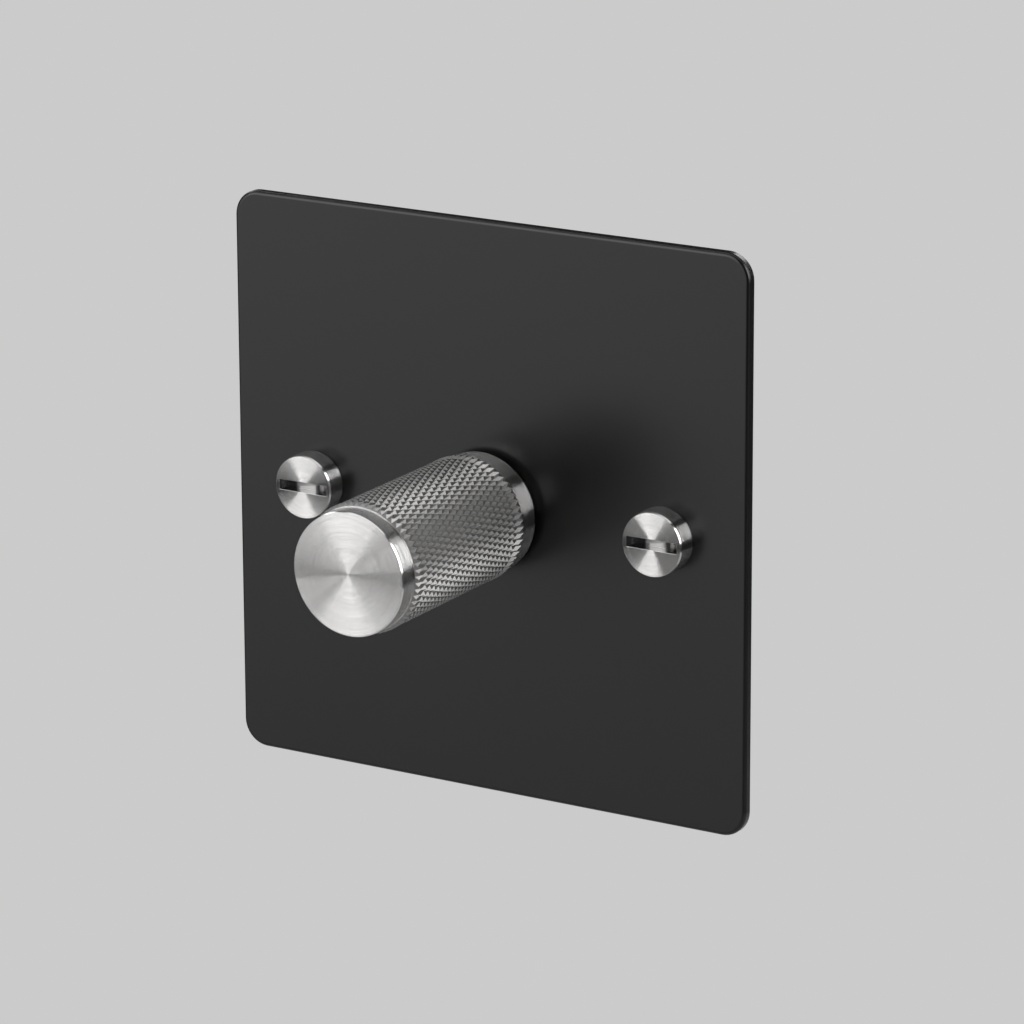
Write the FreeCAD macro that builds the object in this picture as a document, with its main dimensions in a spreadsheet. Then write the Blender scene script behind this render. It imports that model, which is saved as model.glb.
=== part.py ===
# Flat plate rotary dimmer switch with a knurled metal knob.
# Frame: origin at the centre of the plate's back face, +Z up, the plate faces -Y
# and the knob turns about the Y axis. Millimetres.
import FreeCAD, Part
import Sketcher
import math
import os
import re

doc = FreeCAD.newDocument("DimmerSwitch")
sheet = doc.addObject("Spreadsheet::Sheet", "Sizes")

# Driving dimensions
dimensions = {
    # front plate
    "plate_width": 88,
    "plate_height": 88,
    "plate_thickness": 1.5,
    "plate_corner": 4,
    "plate_edge_round": 0.6,
    "bush_hole_clearance": 0.15,
    # fixing screws with a coin slot
    "fixing_spacing": 60.3,
    "fixing_hole_clearance": 1.15,
    "head_diameter": 9.9,
    "head_height": 3.6,
    "head_chamfer": 0.25,
    "slot_end_land": 0.75,
    "slot_width": 1.6,
    "slot_depth": 1.8,
    "shank_diameter": 3.5,
    "shank_reach": 18,
    "neck_diameter": 3.0,
    "neck_length": 0.8,
    "shank_tip_chamfer": 0.6,
    # knob
    "knob_reach": 38,
    "knob_gap": 1.1,
    "knurl_crest_diameter": 19.5,
    "knurl_depth": 0.42,
    "diamond_width": 1.0,
    "diamond_length": 2.8,
    "ring_width": 2.7,
    "ring_drop": 0.5,
    "ring_chamfer": 0.25,
    "relief_width": 0.4,
    "relief_depth": 0.4,
    "collar_width": 4.0,
    "collar_drop": 0.05,
    "collar_chamfer": 0.3,
    "skirt_gap": 0.75,
    "knurl_land": 0.03,
    # knob insert
    "insert_diameter": 10,
    "insert_length": 17,
    "insert_end_wall": 1.0,
    "insert_slit": 0.8,
    "insert_play": 0.02,
    # shaft and its clip
    "shaft_diameter": 6,
    "shaft_flat_cut": 1.5,
    "shaft_play": 0.05,
    "shaft_tip_gap": 0.5,
    "shaft_tail": 1.1,
    "shaft_chamfer": 0.4,
    "clip_diameter": 8.6,
    "clip_thickness": 0.6,
    "clip_gap": 0.15,
    "clip_groove_depth": 0.5,
    "clip_mouth": 4.4,
    # threaded bush, washer and nut
    "bush_diameter": 10,
    "bush_reach": 6,
    "bush_chamfer": 0.5,
    "bush_flange_diameter": 14,
    "bush_flange": 1.0,
    "washer_gap": 0.4,
    "washer_thickness": 0.6,
    "nut_across_flats": 12,
    "nut_thickness": 2.4,
    "nut_corner_break": 0.5,
    "nut_play": 0.05,
    # heat plate and housing
    "module_width": 46,
    "module_height": 46,
    "module_corner": 2.5,
    "module_edge_round": 0.8,
    "heat_plate_thickness": 1.6,
    "housing_wall": 1.6,
    "post_inset": 3.2,
    "post_diameter": 4.4,
    "foot_ledge": 0.5,
    "post_clearance": 0.3,
    "pilot_diameter": 2.5,
    "housing_screw_play": 0.05,
    "countersink": 1.0,
    "housing_screw_length": 9,
    "housing_screw_slot": 0.6,
    "rear_gap": 0.6,
    "well_diameter": 6.4,
    "vent_width": 1.6,
    "vent_length": 12,
    "vent_pitch": 3.6,
    "vent_gap": 4,
    "vent_rows": 4,
    "rib_thickness": 1.2,
    "rib_height": 9,
    # potentiometer
    "case_size": 16,
    "pot_depth": 6.6,
    "pot_floor": 1.0,
    "pot_cavity_diameter": 14.4,
    "wafer_diameter": 13.8,
    "wafer_bore": 7.6,
    "wafer_thickness": 0.8,
    "rotor_diameter": 10,
    "rotor_thickness": 3.0,
    "rotor_gap": 0.3,
    "lug_diameter": 13.8,
    "lug_angle": 44,
    "stop_angle": 45,
    "stop_clearance": 0.3,
    "wiper_ring_diameter": 9.2,
    "wiper_ring_bore": 6.8,
    "wiper_sheet": 0.3,
    "wiper_arm_width": 1.2,
    "wiper_arm_span": 6.0,
    "wiper_neck": 1.6,
    "wiper_clearance": 0.06,
    # push switch
    "push_travel": 0.9,
    "switch_depth": 8.0,
    "well_depth": 4.55,
    "switch_well_diameter": 9.6,
    "switch_shelf": 0.5,
    "chamber_width": 13,
    "chamber_height": 6,
    "plunger_gap": 0.05,
    "plunger_head_diameter": 8.4,
    "plunger_head": 1.0,
    "plunger_stem_diameter": 3.2,
    "plunger_play": 0.08,
    "bridge_gap": 0.5,
    "bridge_width": 11,
    "bridge_height": 3.2,
    "bridge_thickness": 0.4,
    "pip_diameter": 1.8,
    "pip_height": 0.25,
    "contact_spacing": 8,
    "contact_diameter": 2.4,
    "contact_gap": 0.03,
    "spring_wire": 0.3,
    "spring_diameter": 6.0,
    "spring_turns": 3,
    "spring_end_gap": 0.05,
    "coil_facets": 18,
    "wire_facets": 6,
    # circuit board and the parts on it
    "board_thickness": 1.6,
    "board_margin": 0.4,
    "pin_diameter": 1.0,
    "pin_play": 0.1,
    "pin_tail": 0.4,
    "pot_pin_pitch": 5,
    "pot_pin_drop": 1.6,
    "pot_pin_thickness": 0.6,
    "part_gap": 0.3,
    "stack_gap": 1.5,
    "transistor_width": 10,
    "transistor_length": 14.2,
    "transistor_body_length": 8.8,
    "transistor_thickness": 4.4,
    "transistor_tab": 1.3,
    "transistor_offset": 1.6,
    "transistor_hole": 3.6,
    "pad_thickness": 0.25,
    "lead_thickness": 0.5,
    "lead_width": 0.9,
    "lead_pitch": 2.54,
    "inductor_diameter": 9,
    "inductor_core_diameter": 4.6,
    "inductor_height": 11,
    "inductor_flange": 1.2,
    "winding_inset": 0.3,
    "winding_play": 0.05,
    "film_width": 7,
    "film_height": 12,
    "film_depth": 11,
    "film_round": 0.5,
    "can_diameter": 8,
    "can_height": 11.5,
    "can_groove": 0.5,
    "chip_width": 8.6,
    "chip_height": 3.9,
    "chip_depth": 1.4,
    "chip_stand_off": 0.15,
    "leg_pitch": 1.27,
    "leg_width": 0.4,
    "leg_length": 1.05,
    "leg_thickness": 0.25,
    "fuse_diameter": 3.6,
    "fuse_cap": 1.8,
    "fuse_length": 9,
    "fuse_neck": 0.3,
    "resistor_diameter": 2.4,
    "resistor_length": 6.4,
    # mains terminals
    "terminal_pitch": 10.4,
    "terminal_width": 7.4,
    "terminal_length": 8,
    "terminal_depth": 7.4,
    "terminal_edge_gap": 0.4,
    "terminal_corner": 0.4,
    "wire_bore": 3.8,
    "wire_floor": 0.9,
    "wire_entry_play": 0.4,
    "clamp_diameter": 2.9,
    "clamp_play": 0.05,
    "clamp_tip_gap": 0.1,
    "clamp_head_diameter": 5.4,
    "clamp_head": 1.5,
    "clamp_head_gap": 0.25,
    "clamp_slot_width": 0.9,
    "clamp_slot_depth": 0.8,
    # earth terminal on the plate's back
    "earth_across": 12,
    "earth_gap": 2.3,
    "earth_foot_overhang": 2.5,
    "earth_foot": 1.0,
}

for row, (alias, size) in enumerate(dimensions.items(), start=1):
    sheet.set(f"A{row}", alias.replace("_", " "))
    sheet.set(f"B{row}", str(size))
    sheet.setAlias(f"B{row}", alias)
doc.recompute()

# Stations along the Y axis, front to back. The plate's back face is at zero.
plate_front = "(-plate_thickness)"
head_front = f"({plate_front} - head_height)"
knob_face = f"({plate_front} - knob_reach)"
knob_base = f"({plate_front} - knob_gap)"
bush_front = f"({plate_front} - bush_reach)"
knob_floor = f"({bush_front} - push_travel - shaft_tip_gap)"
insert_front = f"({knob_floor} - insert_length)"
insert_bore_end = f"({insert_front} + insert_end_wall)"
shaft_front = f"({insert_bore_end} + shaft_tip_gap)"
washer_front = f"({plate_front} - washer_thickness)"
nut_front = f"({washer_front} - nut_thickness)"
pot_front = "(heat_plate_thickness + bush_flange)"
rotor_front = f"({pot_front} + rotor_gap)"
rotor_back = f"({rotor_front} + rotor_thickness)"
switch_front = f"({pot_front} + pot_depth)"
pot_inner_floor = f"({switch_front} - pot_floor)"
wafer_front = f"({pot_inner_floor} - wafer_thickness)"
clip_front = f"({switch_front} + clip_gap)"
clip_back = f"({clip_front} + clip_thickness)"
shaft_back = f"({switch_front} + shaft_tail)"
plunger_front = f"({shaft_back} + plunger_gap)"
plunger_shoulder = f"({plunger_front} + plunger_head)"
well_floor = f"({switch_front} + well_depth)"
chamber_front = f"({well_floor} + switch_shelf)"
bridge_front = f"({chamber_front} + bridge_gap)"
bridge_back = f"({bridge_front} + bridge_thickness)"
pip_back = f"({bridge_back} + pip_height)"
contact_front = f"({pip_back} + push_travel + contact_gap)"
board_front = f"({switch_front} + switch_depth)"
board_back = f"({board_front} + board_thickness)"
pin_back = f"({board_back} + pin_tail)"
terminal_back = f"({board_back} + terminal_depth)"
housing_inner = f"({terminal_back} + rear_gap)"
housing_back = f"({housing_inner} + housing_wall)"

# Radii and offsets that several pieces share
crest_radius = "(knurl_crest_diameter / 2)"
root_radius = f"({crest_radius} - knurl_depth)"
ring_radius = f"({crest_radius} - ring_drop)"
relief_radius = f"({root_radius} - relief_depth)"
collar_radius = f"({root_radius} - collar_drop)"
nut_corner = "(nut_across_flats / 2 / cos(30))"
skirt_radius = f"({nut_corner} + skirt_gap)"
washer_radius = f"({skirt_radius} - washer_gap)"
slot_length = "(head_diameter - 2 * slot_end_land)"
shaft_radius = "(shaft_diameter / 2)"
shaft_bore_radius = f"({shaft_radius} + shaft_play)"
shaft_flat = f"({shaft_radius} - shaft_flat_cut)"
groove_radius = f"({shaft_radius} - clip_groove_depth)"
bush_radius = "(bush_diameter / 2)"
pilot_radius = "(pilot_diameter / 2)"
post_across = "(module_width / 2 - post_inset)"
post_up = "(module_height / 2 - post_inset)"
room_across = "(module_width / 2 - housing_wall)"
room_up = "(module_height / 2 - housing_wall)"
notch_radius = "(post_diameter / 2 + post_clearance)"
column_across = f"((case_size / 2 + {room_across}) / 2)"
inductor_up = "(film_height / 2 + stack_gap + inductor_diameter / 2)"
can_down = "(film_height / 2 + stack_gap + can_diameter / 2)"
resistor_up = ("(case_size / 2 + pot_pin_drop + pot_pin_thickness / 2 + part_gap"
               " + resistor_diameter / 2)")
chip_up = f"({resistor_up} + resistor_diameter / 2 + part_gap + chip_height / 2 + leg_length)"
fuse_down = f"({resistor_up} + resistor_diameter / 2 + part_gap + fuse_diameter / 2)"
earth_up = "(module_height / 2 + earth_gap + terminal_width / 2)"
terminal_up = f"(-{room_up} + terminal_edge_gap + terminal_length / 2)"
wire_depth = "(wire_floor + wire_bore / 2)"
pot_pin_up = "(-case_size / 2 - pot_pin_drop)"
lead_up = "(transistor_offset / 2)"
post_corners = [(1, 1), (-1, 1), (-1, -1), (1, -1)]
terminal_sides = {"left": -1, "middle": 0, "right": 1}


def linked(formula):
    # A formula in plain size names, written so that it reads the sheet
    def point_at_sheet(match):
        word = match.group(0)
        return "Sizes." + word if word in dimensions else word
    return re.sub(r"[a-z_]+", point_at_sheet, str(formula))


def number(formula):
    # What a formula comes to with the sheet's present sizes
    result = sheet.evalExpression(linked(formula))
    return float(getattr(result, "Value", result))


def bind(thing, prop, formula):
    # Tie a property to a formula of sheet sizes
    thing.setExpression(prop, linked(formula))


def new_body(label):
    made = doc.addObject("PartDesign::Body", label)
    made.Label = label
    return made


def new_sketch(body, name, role, height):
    # A sketch on one of the body's own origin planes, raised along the plane's normal
    sketch = body.newObject("Sketcher::SketchObject", name)
    base_plane = [part for part in body.Origin.OriginFeatures if part.Role == role][0]
    sketch.AttachmentSupport = (base_plane, [""])
    sketch.MapMode = "FlatFace"
    bind(sketch, "AttachmentOffset.Base.z", height)
    return sketch


def tie_point(sketch, geometry, point, across, up):
    # Hold a point of the sketch at two formulas measured from the sketch's origin
    for kind, formula in (("DistanceX", across), ("DistanceY", up)):
        rule = Sketcher.Constraint(kind, -1, 1, geometry, point, number(formula))
        index = sketch.addConstraint(rule)
        bind(sketch, f"Constraints[{index}]", formula)


def draw_polygon(sketch, corners):
    # A closed outline whose corners are pairs of formulas
    first = sketch.GeometryCount
    places = [FreeCAD.Vector(number(across), number(up), 0) for across, up in corners]
    count = len(corners)
    for index in range(count):
        line = Part.LineSegment(places[index], places[(index + 1) % count])
        sketch.addGeometry(line, False)
    for index in range(count):
        following = first + (index + 1) % count
        sketch.addConstraint(Sketcher.Constraint("Coincident", first + index, 2, following, 1))
    for index, (across, up) in enumerate(corners):
        tie_point(sketch, first + index, 1, across, up)


def draw_rectangle(sketch, left, right, low, high):
    draw_polygon(sketch, [(left, low), (right, low), (right, high), (left, high)])


def draw_circle(sketch, across, up, radius):
    middle = FreeCAD.Vector(number(across), number(up), 0)
    upright = FreeCAD.Vector(0, 0, 1)
    index = sketch.GeometryCount
    sketch.addGeometry(Part.Circle(middle, upright, number(radius)), False)
    tie_point(sketch, index, 3, across, up)
    rule = sketch.addConstraint(Sketcher.Constraint("Radius", index, number(radius)))
    bind(sketch, f"Constraints[{rule}]", radius)


def add_slab(body, name, front, back, draw):
    # Material between two stations on the Y axis, drawn looking along +Y (X right, Z up)
    sketch = new_sketch(body, name + "_outline", "XZ_Plane", f"-({back})")
    draw(sketch)
    pad = body.newObject("PartDesign::Pad", name)
    pad.Profile = sketch
    bind(pad, "Length", f"({back}) - ({front})")
    doc.recompute()
    return pad


def cut_slab(body, name, front, back, draw):
    # The same, taken away from the body
    before = body.Shape.Volume
    sketch = new_sketch(body, name + "_outline", "XZ_Plane", f"-({front})")
    draw(sketch)
    pocket = body.newObject("PartDesign::Pocket", name)
    pocket.Profile = sketch
    bind(pocket, "Length", f"({back}) - ({front})")
    doc.recompute()
    check_cut(body, name, before)
    return pocket


def cut_upward(body, name, low, high, draw):
    # A cut between two heights on the Z axis, drawn from above (X right, Y up the sheet)
    before = body.Shape.Volume
    sketch = new_sketch(body, name + "_outline", "XY_Plane", high)
    draw(sketch)
    pocket = body.newObject("PartDesign::Pocket", name)
    pocket.Profile = sketch
    bind(pocket, "Length", f"({high}) - ({low})")
    doc.recompute()
    check_cut(body, name, before)
    return pocket


def check_cut(body, name, before):
    if body.Shape.Volume >= before:
        raise ValueError(f"{body.Label}: {name} cut nothing")


def add_turned(body, name, corners):
    # A solid of revolution about the Y axis: corners are (radius, station) pairs
    sketch = new_sketch(body, name + "_profile", "XY_Plane", "0")
    draw_polygon(sketch, corners)
    turning = body.newObject("PartDesign::Revolution", name)
    turning.Profile = sketch
    turning.ReferenceAxis = (sketch, ["V_Axis"])
    turning.Angle = 360
    doc.recompute()
    return turning


def cut_turned(body, name, corners):
    before = body.Shape.Volume
    sketch = new_sketch(body, name + "_profile", "XY_Plane", "0")
    draw_polygon(sketch, corners)
    groove = body.newObject("PartDesign::Groove", name)
    groove.Profile = sketch
    groove.ReferenceAxis = (sketch, ["V_Axis"])
    groove.Angle = 360
    doc.recompute()
    check_cut(body, name, before)
    return groove


def edge_names(shape, test):
    return [f"Edge{index}" for index, edge in enumerate(shape.Edges, start=1) if test(edge)]


def round_edges(body, name, radius, test):
    base = body.Tip
    fillet = body.newObject("PartDesign::Fillet", name)
    fillet.Base = (base, edge_names(base.Shape, test))
    bind(fillet, "Radius", radius)
    doc.recompute()
    return fillet


def break_edges(body, name, size, test):
    base = body.Tip
    chamfer = body.newObject("PartDesign::Chamfer", name)
    chamfer.Base = (base, edge_names(base.Shape, test))
    bind(chamfer, "Size", size)
    doc.recompute()
    return chamfer


def along_depth(edge):
    # True for a straight edge that runs along the Y axis
    box = edge.BoundBox
    return box.YLength > 0.01 and box.XLength < 0.001 and box.ZLength < 0.001


def at_station(formula):
    # A test for edges that lie in the plane of one station
    station = number(formula)

    def lies_there(edge):
        box = edge.BoundBox
        return abs(box.YMin - station) < 0.001 and abs(box.YMax - station) < 0.001
    return lies_there


def place(thing, across="0", depth="0", up="0"):
    for axis, formula in (("x", across), ("y", depth), ("z", up)):
        bind(thing, f"Placement.Base.{axis}", formula)
    doc.recompute()


def group(label, members):
    # Like pieces kept as separate solids under one name
    made = doc.addObject("Part::Compound", label)
    made.Label = label
    made.Links = members
    doc.recompute()
    return made


def make_front_plate():
    # Flat steel sheet with rounded corners and an eased front edge
    plate = new_body("front_plate")
    across = "plate_width / 2"
    up = "plate_height / 2"
    add_slab(plate, "sheet", plate_front, "0",
             lambda s: draw_rectangle(s, f"-{across}", across, f"-{up}", up))
    round_edges(plate, "corners", "plate_corner", along_depth)
    round_edges(plate, "front_edge", "plate_edge_round", at_station(plate_front))
    screw_hole = "shank_diameter / 2 + fixing_hole_clearance"

    def draw_holes(sketch):
        draw_circle(sketch, "0", "0", f"{bush_radius} + bush_hole_clearance")
        for side in (-1, 1):
            draw_circle(sketch, f"{side} * fixing_spacing / 2", "0", screw_hole)

    cut_slab(plate, "holes", plate_front, "0", draw_holes)
    return plate


def make_coin_screw(label, side):
    # Turned head with a flat face, an eased rim and a disc-cut slot closed at both ends,
    # and a thinner neck under the head
    screw = new_body(label)
    head = "head_diameter / 2"
    shank = "shank_diameter / 2"
    neck_back = f"({plate_front} + neck_length)"
    add_turned(screw, "blank", [
        ("0", head_front),
        (f"{head} - head_chamfer", head_front),
        (head, f"{head_front} + head_chamfer"),
        (head, plate_front),
        ("neck_diameter / 2", plate_front),
        ("neck_diameter / 2", neck_back),
        (shank, neck_back),
        (shank, "shank_reach - shank_tip_chamfer"),
        (f"{shank} - shank_tip_chamfer", "shank_reach"),
        ("0", "shank_reach"),
    ])
    cutter = f"(({slot_length} ^ 2 / 4 + slot_depth ^ 2) / (2 * slot_depth))"
    cut_upward(screw, "coin_slot", "-slot_width / 2", "slot_width / 2",
               lambda s: draw_circle(s, "0", f"{head_front} + slot_depth - {cutter}", cutter))
    place(screw, f"{side} * fixing_spacing / 2")
    return screw


def solid_from(faces):
    # Sew faces that share their edges into one closed solid
    stitched = Part.makeCompound(faces)
    stitched.sewShape(0.001)
    solid = Part.makeSolid(stitched.Shells[0])
    if solid.Volume < 0:
        solid.reverse()
    return solid


def add_feature(label, shape):
    made = doc.addObject("Part::Feature", label)
    made.Label = label
    made.Shape = shape
    made.Placement = FreeCAD.Placement()
    return made


def knurl_row(row, rows, count, start, finish):
    # One ring of knurl points: diamond tips on the crest radius alternate with the
    # crossings of the grooves on the root radius. The end rings lie on 45 degree cones.
    crest = number(crest_radius)
    root = number(root_radius)
    station = start + (finish - start) * row / rows
    points = []
    for step in range(2 * count):
        radius = crest if (step + row) % 2 == 0 else root
        easing = crest - radius
        depth = station
        if row == 0:
            depth = station - easing
        if row == rows:
            depth = station + easing
        angle = math.pi * step / count
        points.append((radius * math.cos(angle), depth, radius * math.sin(angle)))
    return points


def plain_row(radius, station, count):
    angles = [math.pi * step / count for step in range(2 * count)]
    return [(radius * math.cos(angle), station, radius * math.sin(angle)) for angle in angles]


def knurl_skin(front_radius, front_station, back_radius, back_station):
    # The knurled band as flat facets: each diamond is a low pyramid of four
    crest = number(crest_radius)
    start = front_station + crest - front_radius
    finish = back_station - crest + back_radius
    count = round(2 * math.pi * crest / number("diamond_width"))
    rows = round((finish - start) / (number("diamond_length") / 2))
    rings = [plain_row(front_radius, front_station, count)]
    rings += [knurl_row(row, rows, count, start, finish) for row in range(rows + 1)]
    rings.append(plain_row(back_radius, back_station, count))
    points = [point for ring in rings for point in ring]
    around = 2 * count
    facets = []
    for ring in range(len(rings) - 1):
        for step in range(around):
            here = ring * around + step
            beside = ring * around + (step + 1) % around
            below = here + around
            below_beside = beside + around
            tip_here = (step + ring - 1) % 2 == 0
            if tip_here:
                facets.append((here, below, beside))
                facets.append((beside, below, below_beside))
            else:
                facets.append((here, below_beside, beside))
                facets.append((here, below, below_beside))
    skin = Part.Shape()
    skin.makeShapeFromMesh((points, facets), 0.0001)
    return skin, rings[0], rings[-1]


def turned_skin(corners):
    # The surface that an open profile of (radius, station) formulas sweeps about the Y axis
    places = [FreeCAD.Vector(number(radius), number(station), 0) for radius, station in corners]
    profile = Part.makePolygon(places)
    return profile.revolve(FreeCAD.Vector(0, 0, 0), FreeCAD.Vector(0, 1, 0), 360)


def rim_between(skin, station, ring):
    # The flat ring from a turned skin's open rim out to the knurl's many-sided end
    rim = [edge for edge in skin.Edges if at_station(str(station))(edge)]
    widest = max(rim, key=lambda edge: edge.BoundBox.XLength)
    corners = [FreeCAD.Vector(*point) for point in ring]
    outline = Part.makePolygon(corners + corners[:1])
    return Part.makeFace([outline, Part.Wire([widest])], "Part::FaceMakerBullseye")


def make_knob():
    # One piece of turned and knurled bar: face ring, relief groove, knurled band, smooth
    # collar, a skirt over the nut and a blind hole for the insert
    band_front = number(f"{knob_face} + ring_width + relief_width")
    band_back = number(f"{knob_base} - collar_width")
    land = number("knurl_land")
    insert_radius = "insert_diameter / 2"
    nose = turned_skin([
        ("0", knob_face),
        (f"{ring_radius} - ring_chamfer", knob_face),
        (ring_radius, f"{knob_face} + ring_chamfer"),
        (ring_radius, f"{knob_face} + ring_width - ring_chamfer / 2"),
        (f"{ring_radius} - ring_chamfer / 2", f"{knob_face} + ring_width"),
        (relief_radius, f"{knob_face} + ring_width"),
        (relief_radius, str(band_front)),
    ])
    sleeve = turned_skin([
        (collar_radius, str(band_back)),
        (collar_radius, f"{knob_base} - collar_chamfer"),
        (f"{collar_radius} - collar_chamfer", knob_base),
        (f"{skirt_radius} + collar_chamfer / 2", knob_base),
        (skirt_radius, f"{knob_base} - collar_chamfer / 2"),
        (skirt_radius, knob_floor),
        (insert_radius, knob_floor),
        (insert_radius, insert_front),
        ("0", insert_front),
    ])
    skin, front_ring, back_ring = knurl_skin(number(root_radius) - land, band_front,
                                             number(collar_radius) + land, band_back)
    faces = nose.Faces + skin.Faces + sleeve.Faces
    faces.append(rim_between(nose, band_front, front_ring))
    faces.append(rim_between(sleeve, band_back, back_ring))
    return add_feature("knob", solid_from(faces))


def fill_flat(body, name, front, back):
    # The flat that keys a round hole to the shaft
    add_slab(body, name, front, back,
             lambda s: draw_rectangle(s, f"-{shaft_bore_radius}", shaft_bore_radius,
                                      f"{shaft_flat} + shaft_play",
                                      f"{shaft_bore_radius} + shaft_play"))


def make_knob_insert():
    # Moulded push-fit bush with a keyed bore and a slit that lets it grip
    insert = new_body("knob_insert")
    outside = "insert_diameter / 2 - insert_play"
    add_slab(insert, "barrel", insert_front, knob_floor,
             lambda s: draw_circle(s, "0", "0", outside))
    cut_slab(insert, "bore", insert_bore_end, knob_floor,
             lambda s: draw_circle(s, "0", "0", shaft_bore_radius))
    fill_flat(insert, "key", insert_bore_end, knob_floor)
    cut_slab(insert, "slit", shaft_front, knob_floor,
             lambda s: draw_rectangle(s, "-insert_slit / 2", "insert_slit / 2",
                                      "-insert_diameter / 2", "0"))
    return insert


def make_shaft():
    # Round spindle with a keying flat at each end and a groove for its clip
    shaft = new_body("shaft")
    add_turned(shaft, "spindle", [
        ("0", shaft_front),
        (f"{shaft_radius} - shaft_chamfer", shaft_front),
        (shaft_radius, f"{shaft_front} + shaft_chamfer"),
        (shaft_radius, clip_front),
        (groove_radius, clip_front),
        (groove_radius, clip_back),
        (shaft_radius, clip_back),
        (shaft_radius, shaft_back),
        ("0", shaft_back),
    ])
    rear_flat_start = f"{rotor_front} - push_travel - rotor_gap"
    for name, front, back in (("front_flat", shaft_front, knob_floor),
                              ("rear_flat", rear_flat_start, shaft_back)):
        cut_slab(shaft, name, front, back,
                 lambda s: draw_rectangle(s, f"-{shaft_radius}", shaft_radius,
                                          shaft_flat, shaft_radius))
    return shaft


def make_shaft_clip():
    # Open spring clip pushed into the shaft's groove from above
    clip = new_body("shaft_clip")
    seat = f"{groove_radius} + shaft_play"
    add_slab(clip, "disc", clip_front, clip_back,
             lambda s: draw_circle(s, "0", "0", "clip_diameter / 2"))
    cut_slab(clip, "seat", clip_front, clip_back,
             lambda s: draw_circle(s, "0", "0", seat))
    cut_slab(clip, "mouth", clip_front, clip_back,
             lambda s: draw_rectangle(s, "-clip_mouth / 2", "clip_mouth / 2",
                                      "-clip_diameter / 2", "0"))
    return clip


def make_bush():
    # Threaded bush that holds the module in the plate, with a flange behind the heat plate
    bush = new_body("bush")
    add_turned(bush, "bush_blank", [
        (shaft_bore_radius, bush_front),
        (f"{bush_radius} - bush_chamfer", bush_front),
        (bush_radius, f"{bush_front} + bush_chamfer"),
        (bush_radius, "heat_plate_thickness"),
        ("bush_flange_diameter / 2", "heat_plate_thickness"),
        ("bush_flange_diameter / 2", pot_front),
        (shaft_bore_radius, pot_front),
    ])
    return bush


def make_bush_washer():
    washer = new_body("bush_washer")
    add_turned(washer, "washer_blank", [
        (f"{bush_radius} + nut_play", washer_front),
        (washer_radius, washer_front),
        (washer_radius, plate_front),
        (f"{bush_radius} + nut_play", plate_front),
    ])
    return washer


def make_bush_nut():
    # Thin hexagon nut with its front corners turned off
    nut = new_body("bush_nut")
    corners = [(f"{nut_corner} * cos({angle})", f"{nut_corner} * sin({angle})")
               for angle in range(0, 360, 60)]
    add_slab(nut, "hexagon", nut_front, washer_front, lambda s: draw_polygon(s, corners))
    cut_slab(nut, "thread_hole", nut_front, washer_front,
             lambda s: draw_circle(s, "0", "0", f"{bush_radius} + nut_play"))
    beyond = f"{nut_corner} + nut_corner_break"
    cut_turned(nut, "corner_break", [
        (f"{nut_corner} - 2 * nut_corner_break", nut_front),
        (beyond, nut_front),
        (beyond, f"{nut_front} + 1.5 * nut_corner_break"),
    ])
    return nut


def draw_at_posts(sketch, radius):
    for side, level in post_corners:
        draw_circle(sketch, f"{side} * {post_across}", f"{level} * {post_up}", radius)


def draw_module_outline(sketch):
    draw_rectangle(sketch, "-module_width / 2", "module_width / 2",
                   "-module_height / 2", "module_height / 2")


def make_heat_plate():
    # Aluminium front of the module: it cools the transistors and closes the housing
    plate = new_body("heat_plate")
    back = "heat_plate_thickness"
    add_slab(plate, "blank", "0", back, draw_module_outline)
    round_edges(plate, "corners", "module_corner", along_depth)
    cut_slab(plate, "bush_hole", "0", back,
             lambda s: draw_circle(s, "0", "0", f"{bush_radius} + bush_hole_clearance"))
    cut_slab(plate, "screw_holes", "0", back,
             lambda s: draw_at_posts(s, f"{pilot_radius} + housing_screw_play"))
    reach = number("bush_diameter")
    break_edges(plate, "countersinks", "countersink",
                lambda edge: at_station("0")(edge) and edge.BoundBox.XLength < reach / 2
                and isinstance(edge.Curve, Part.Circle) and edge.isClosed())
    return plate


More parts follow.
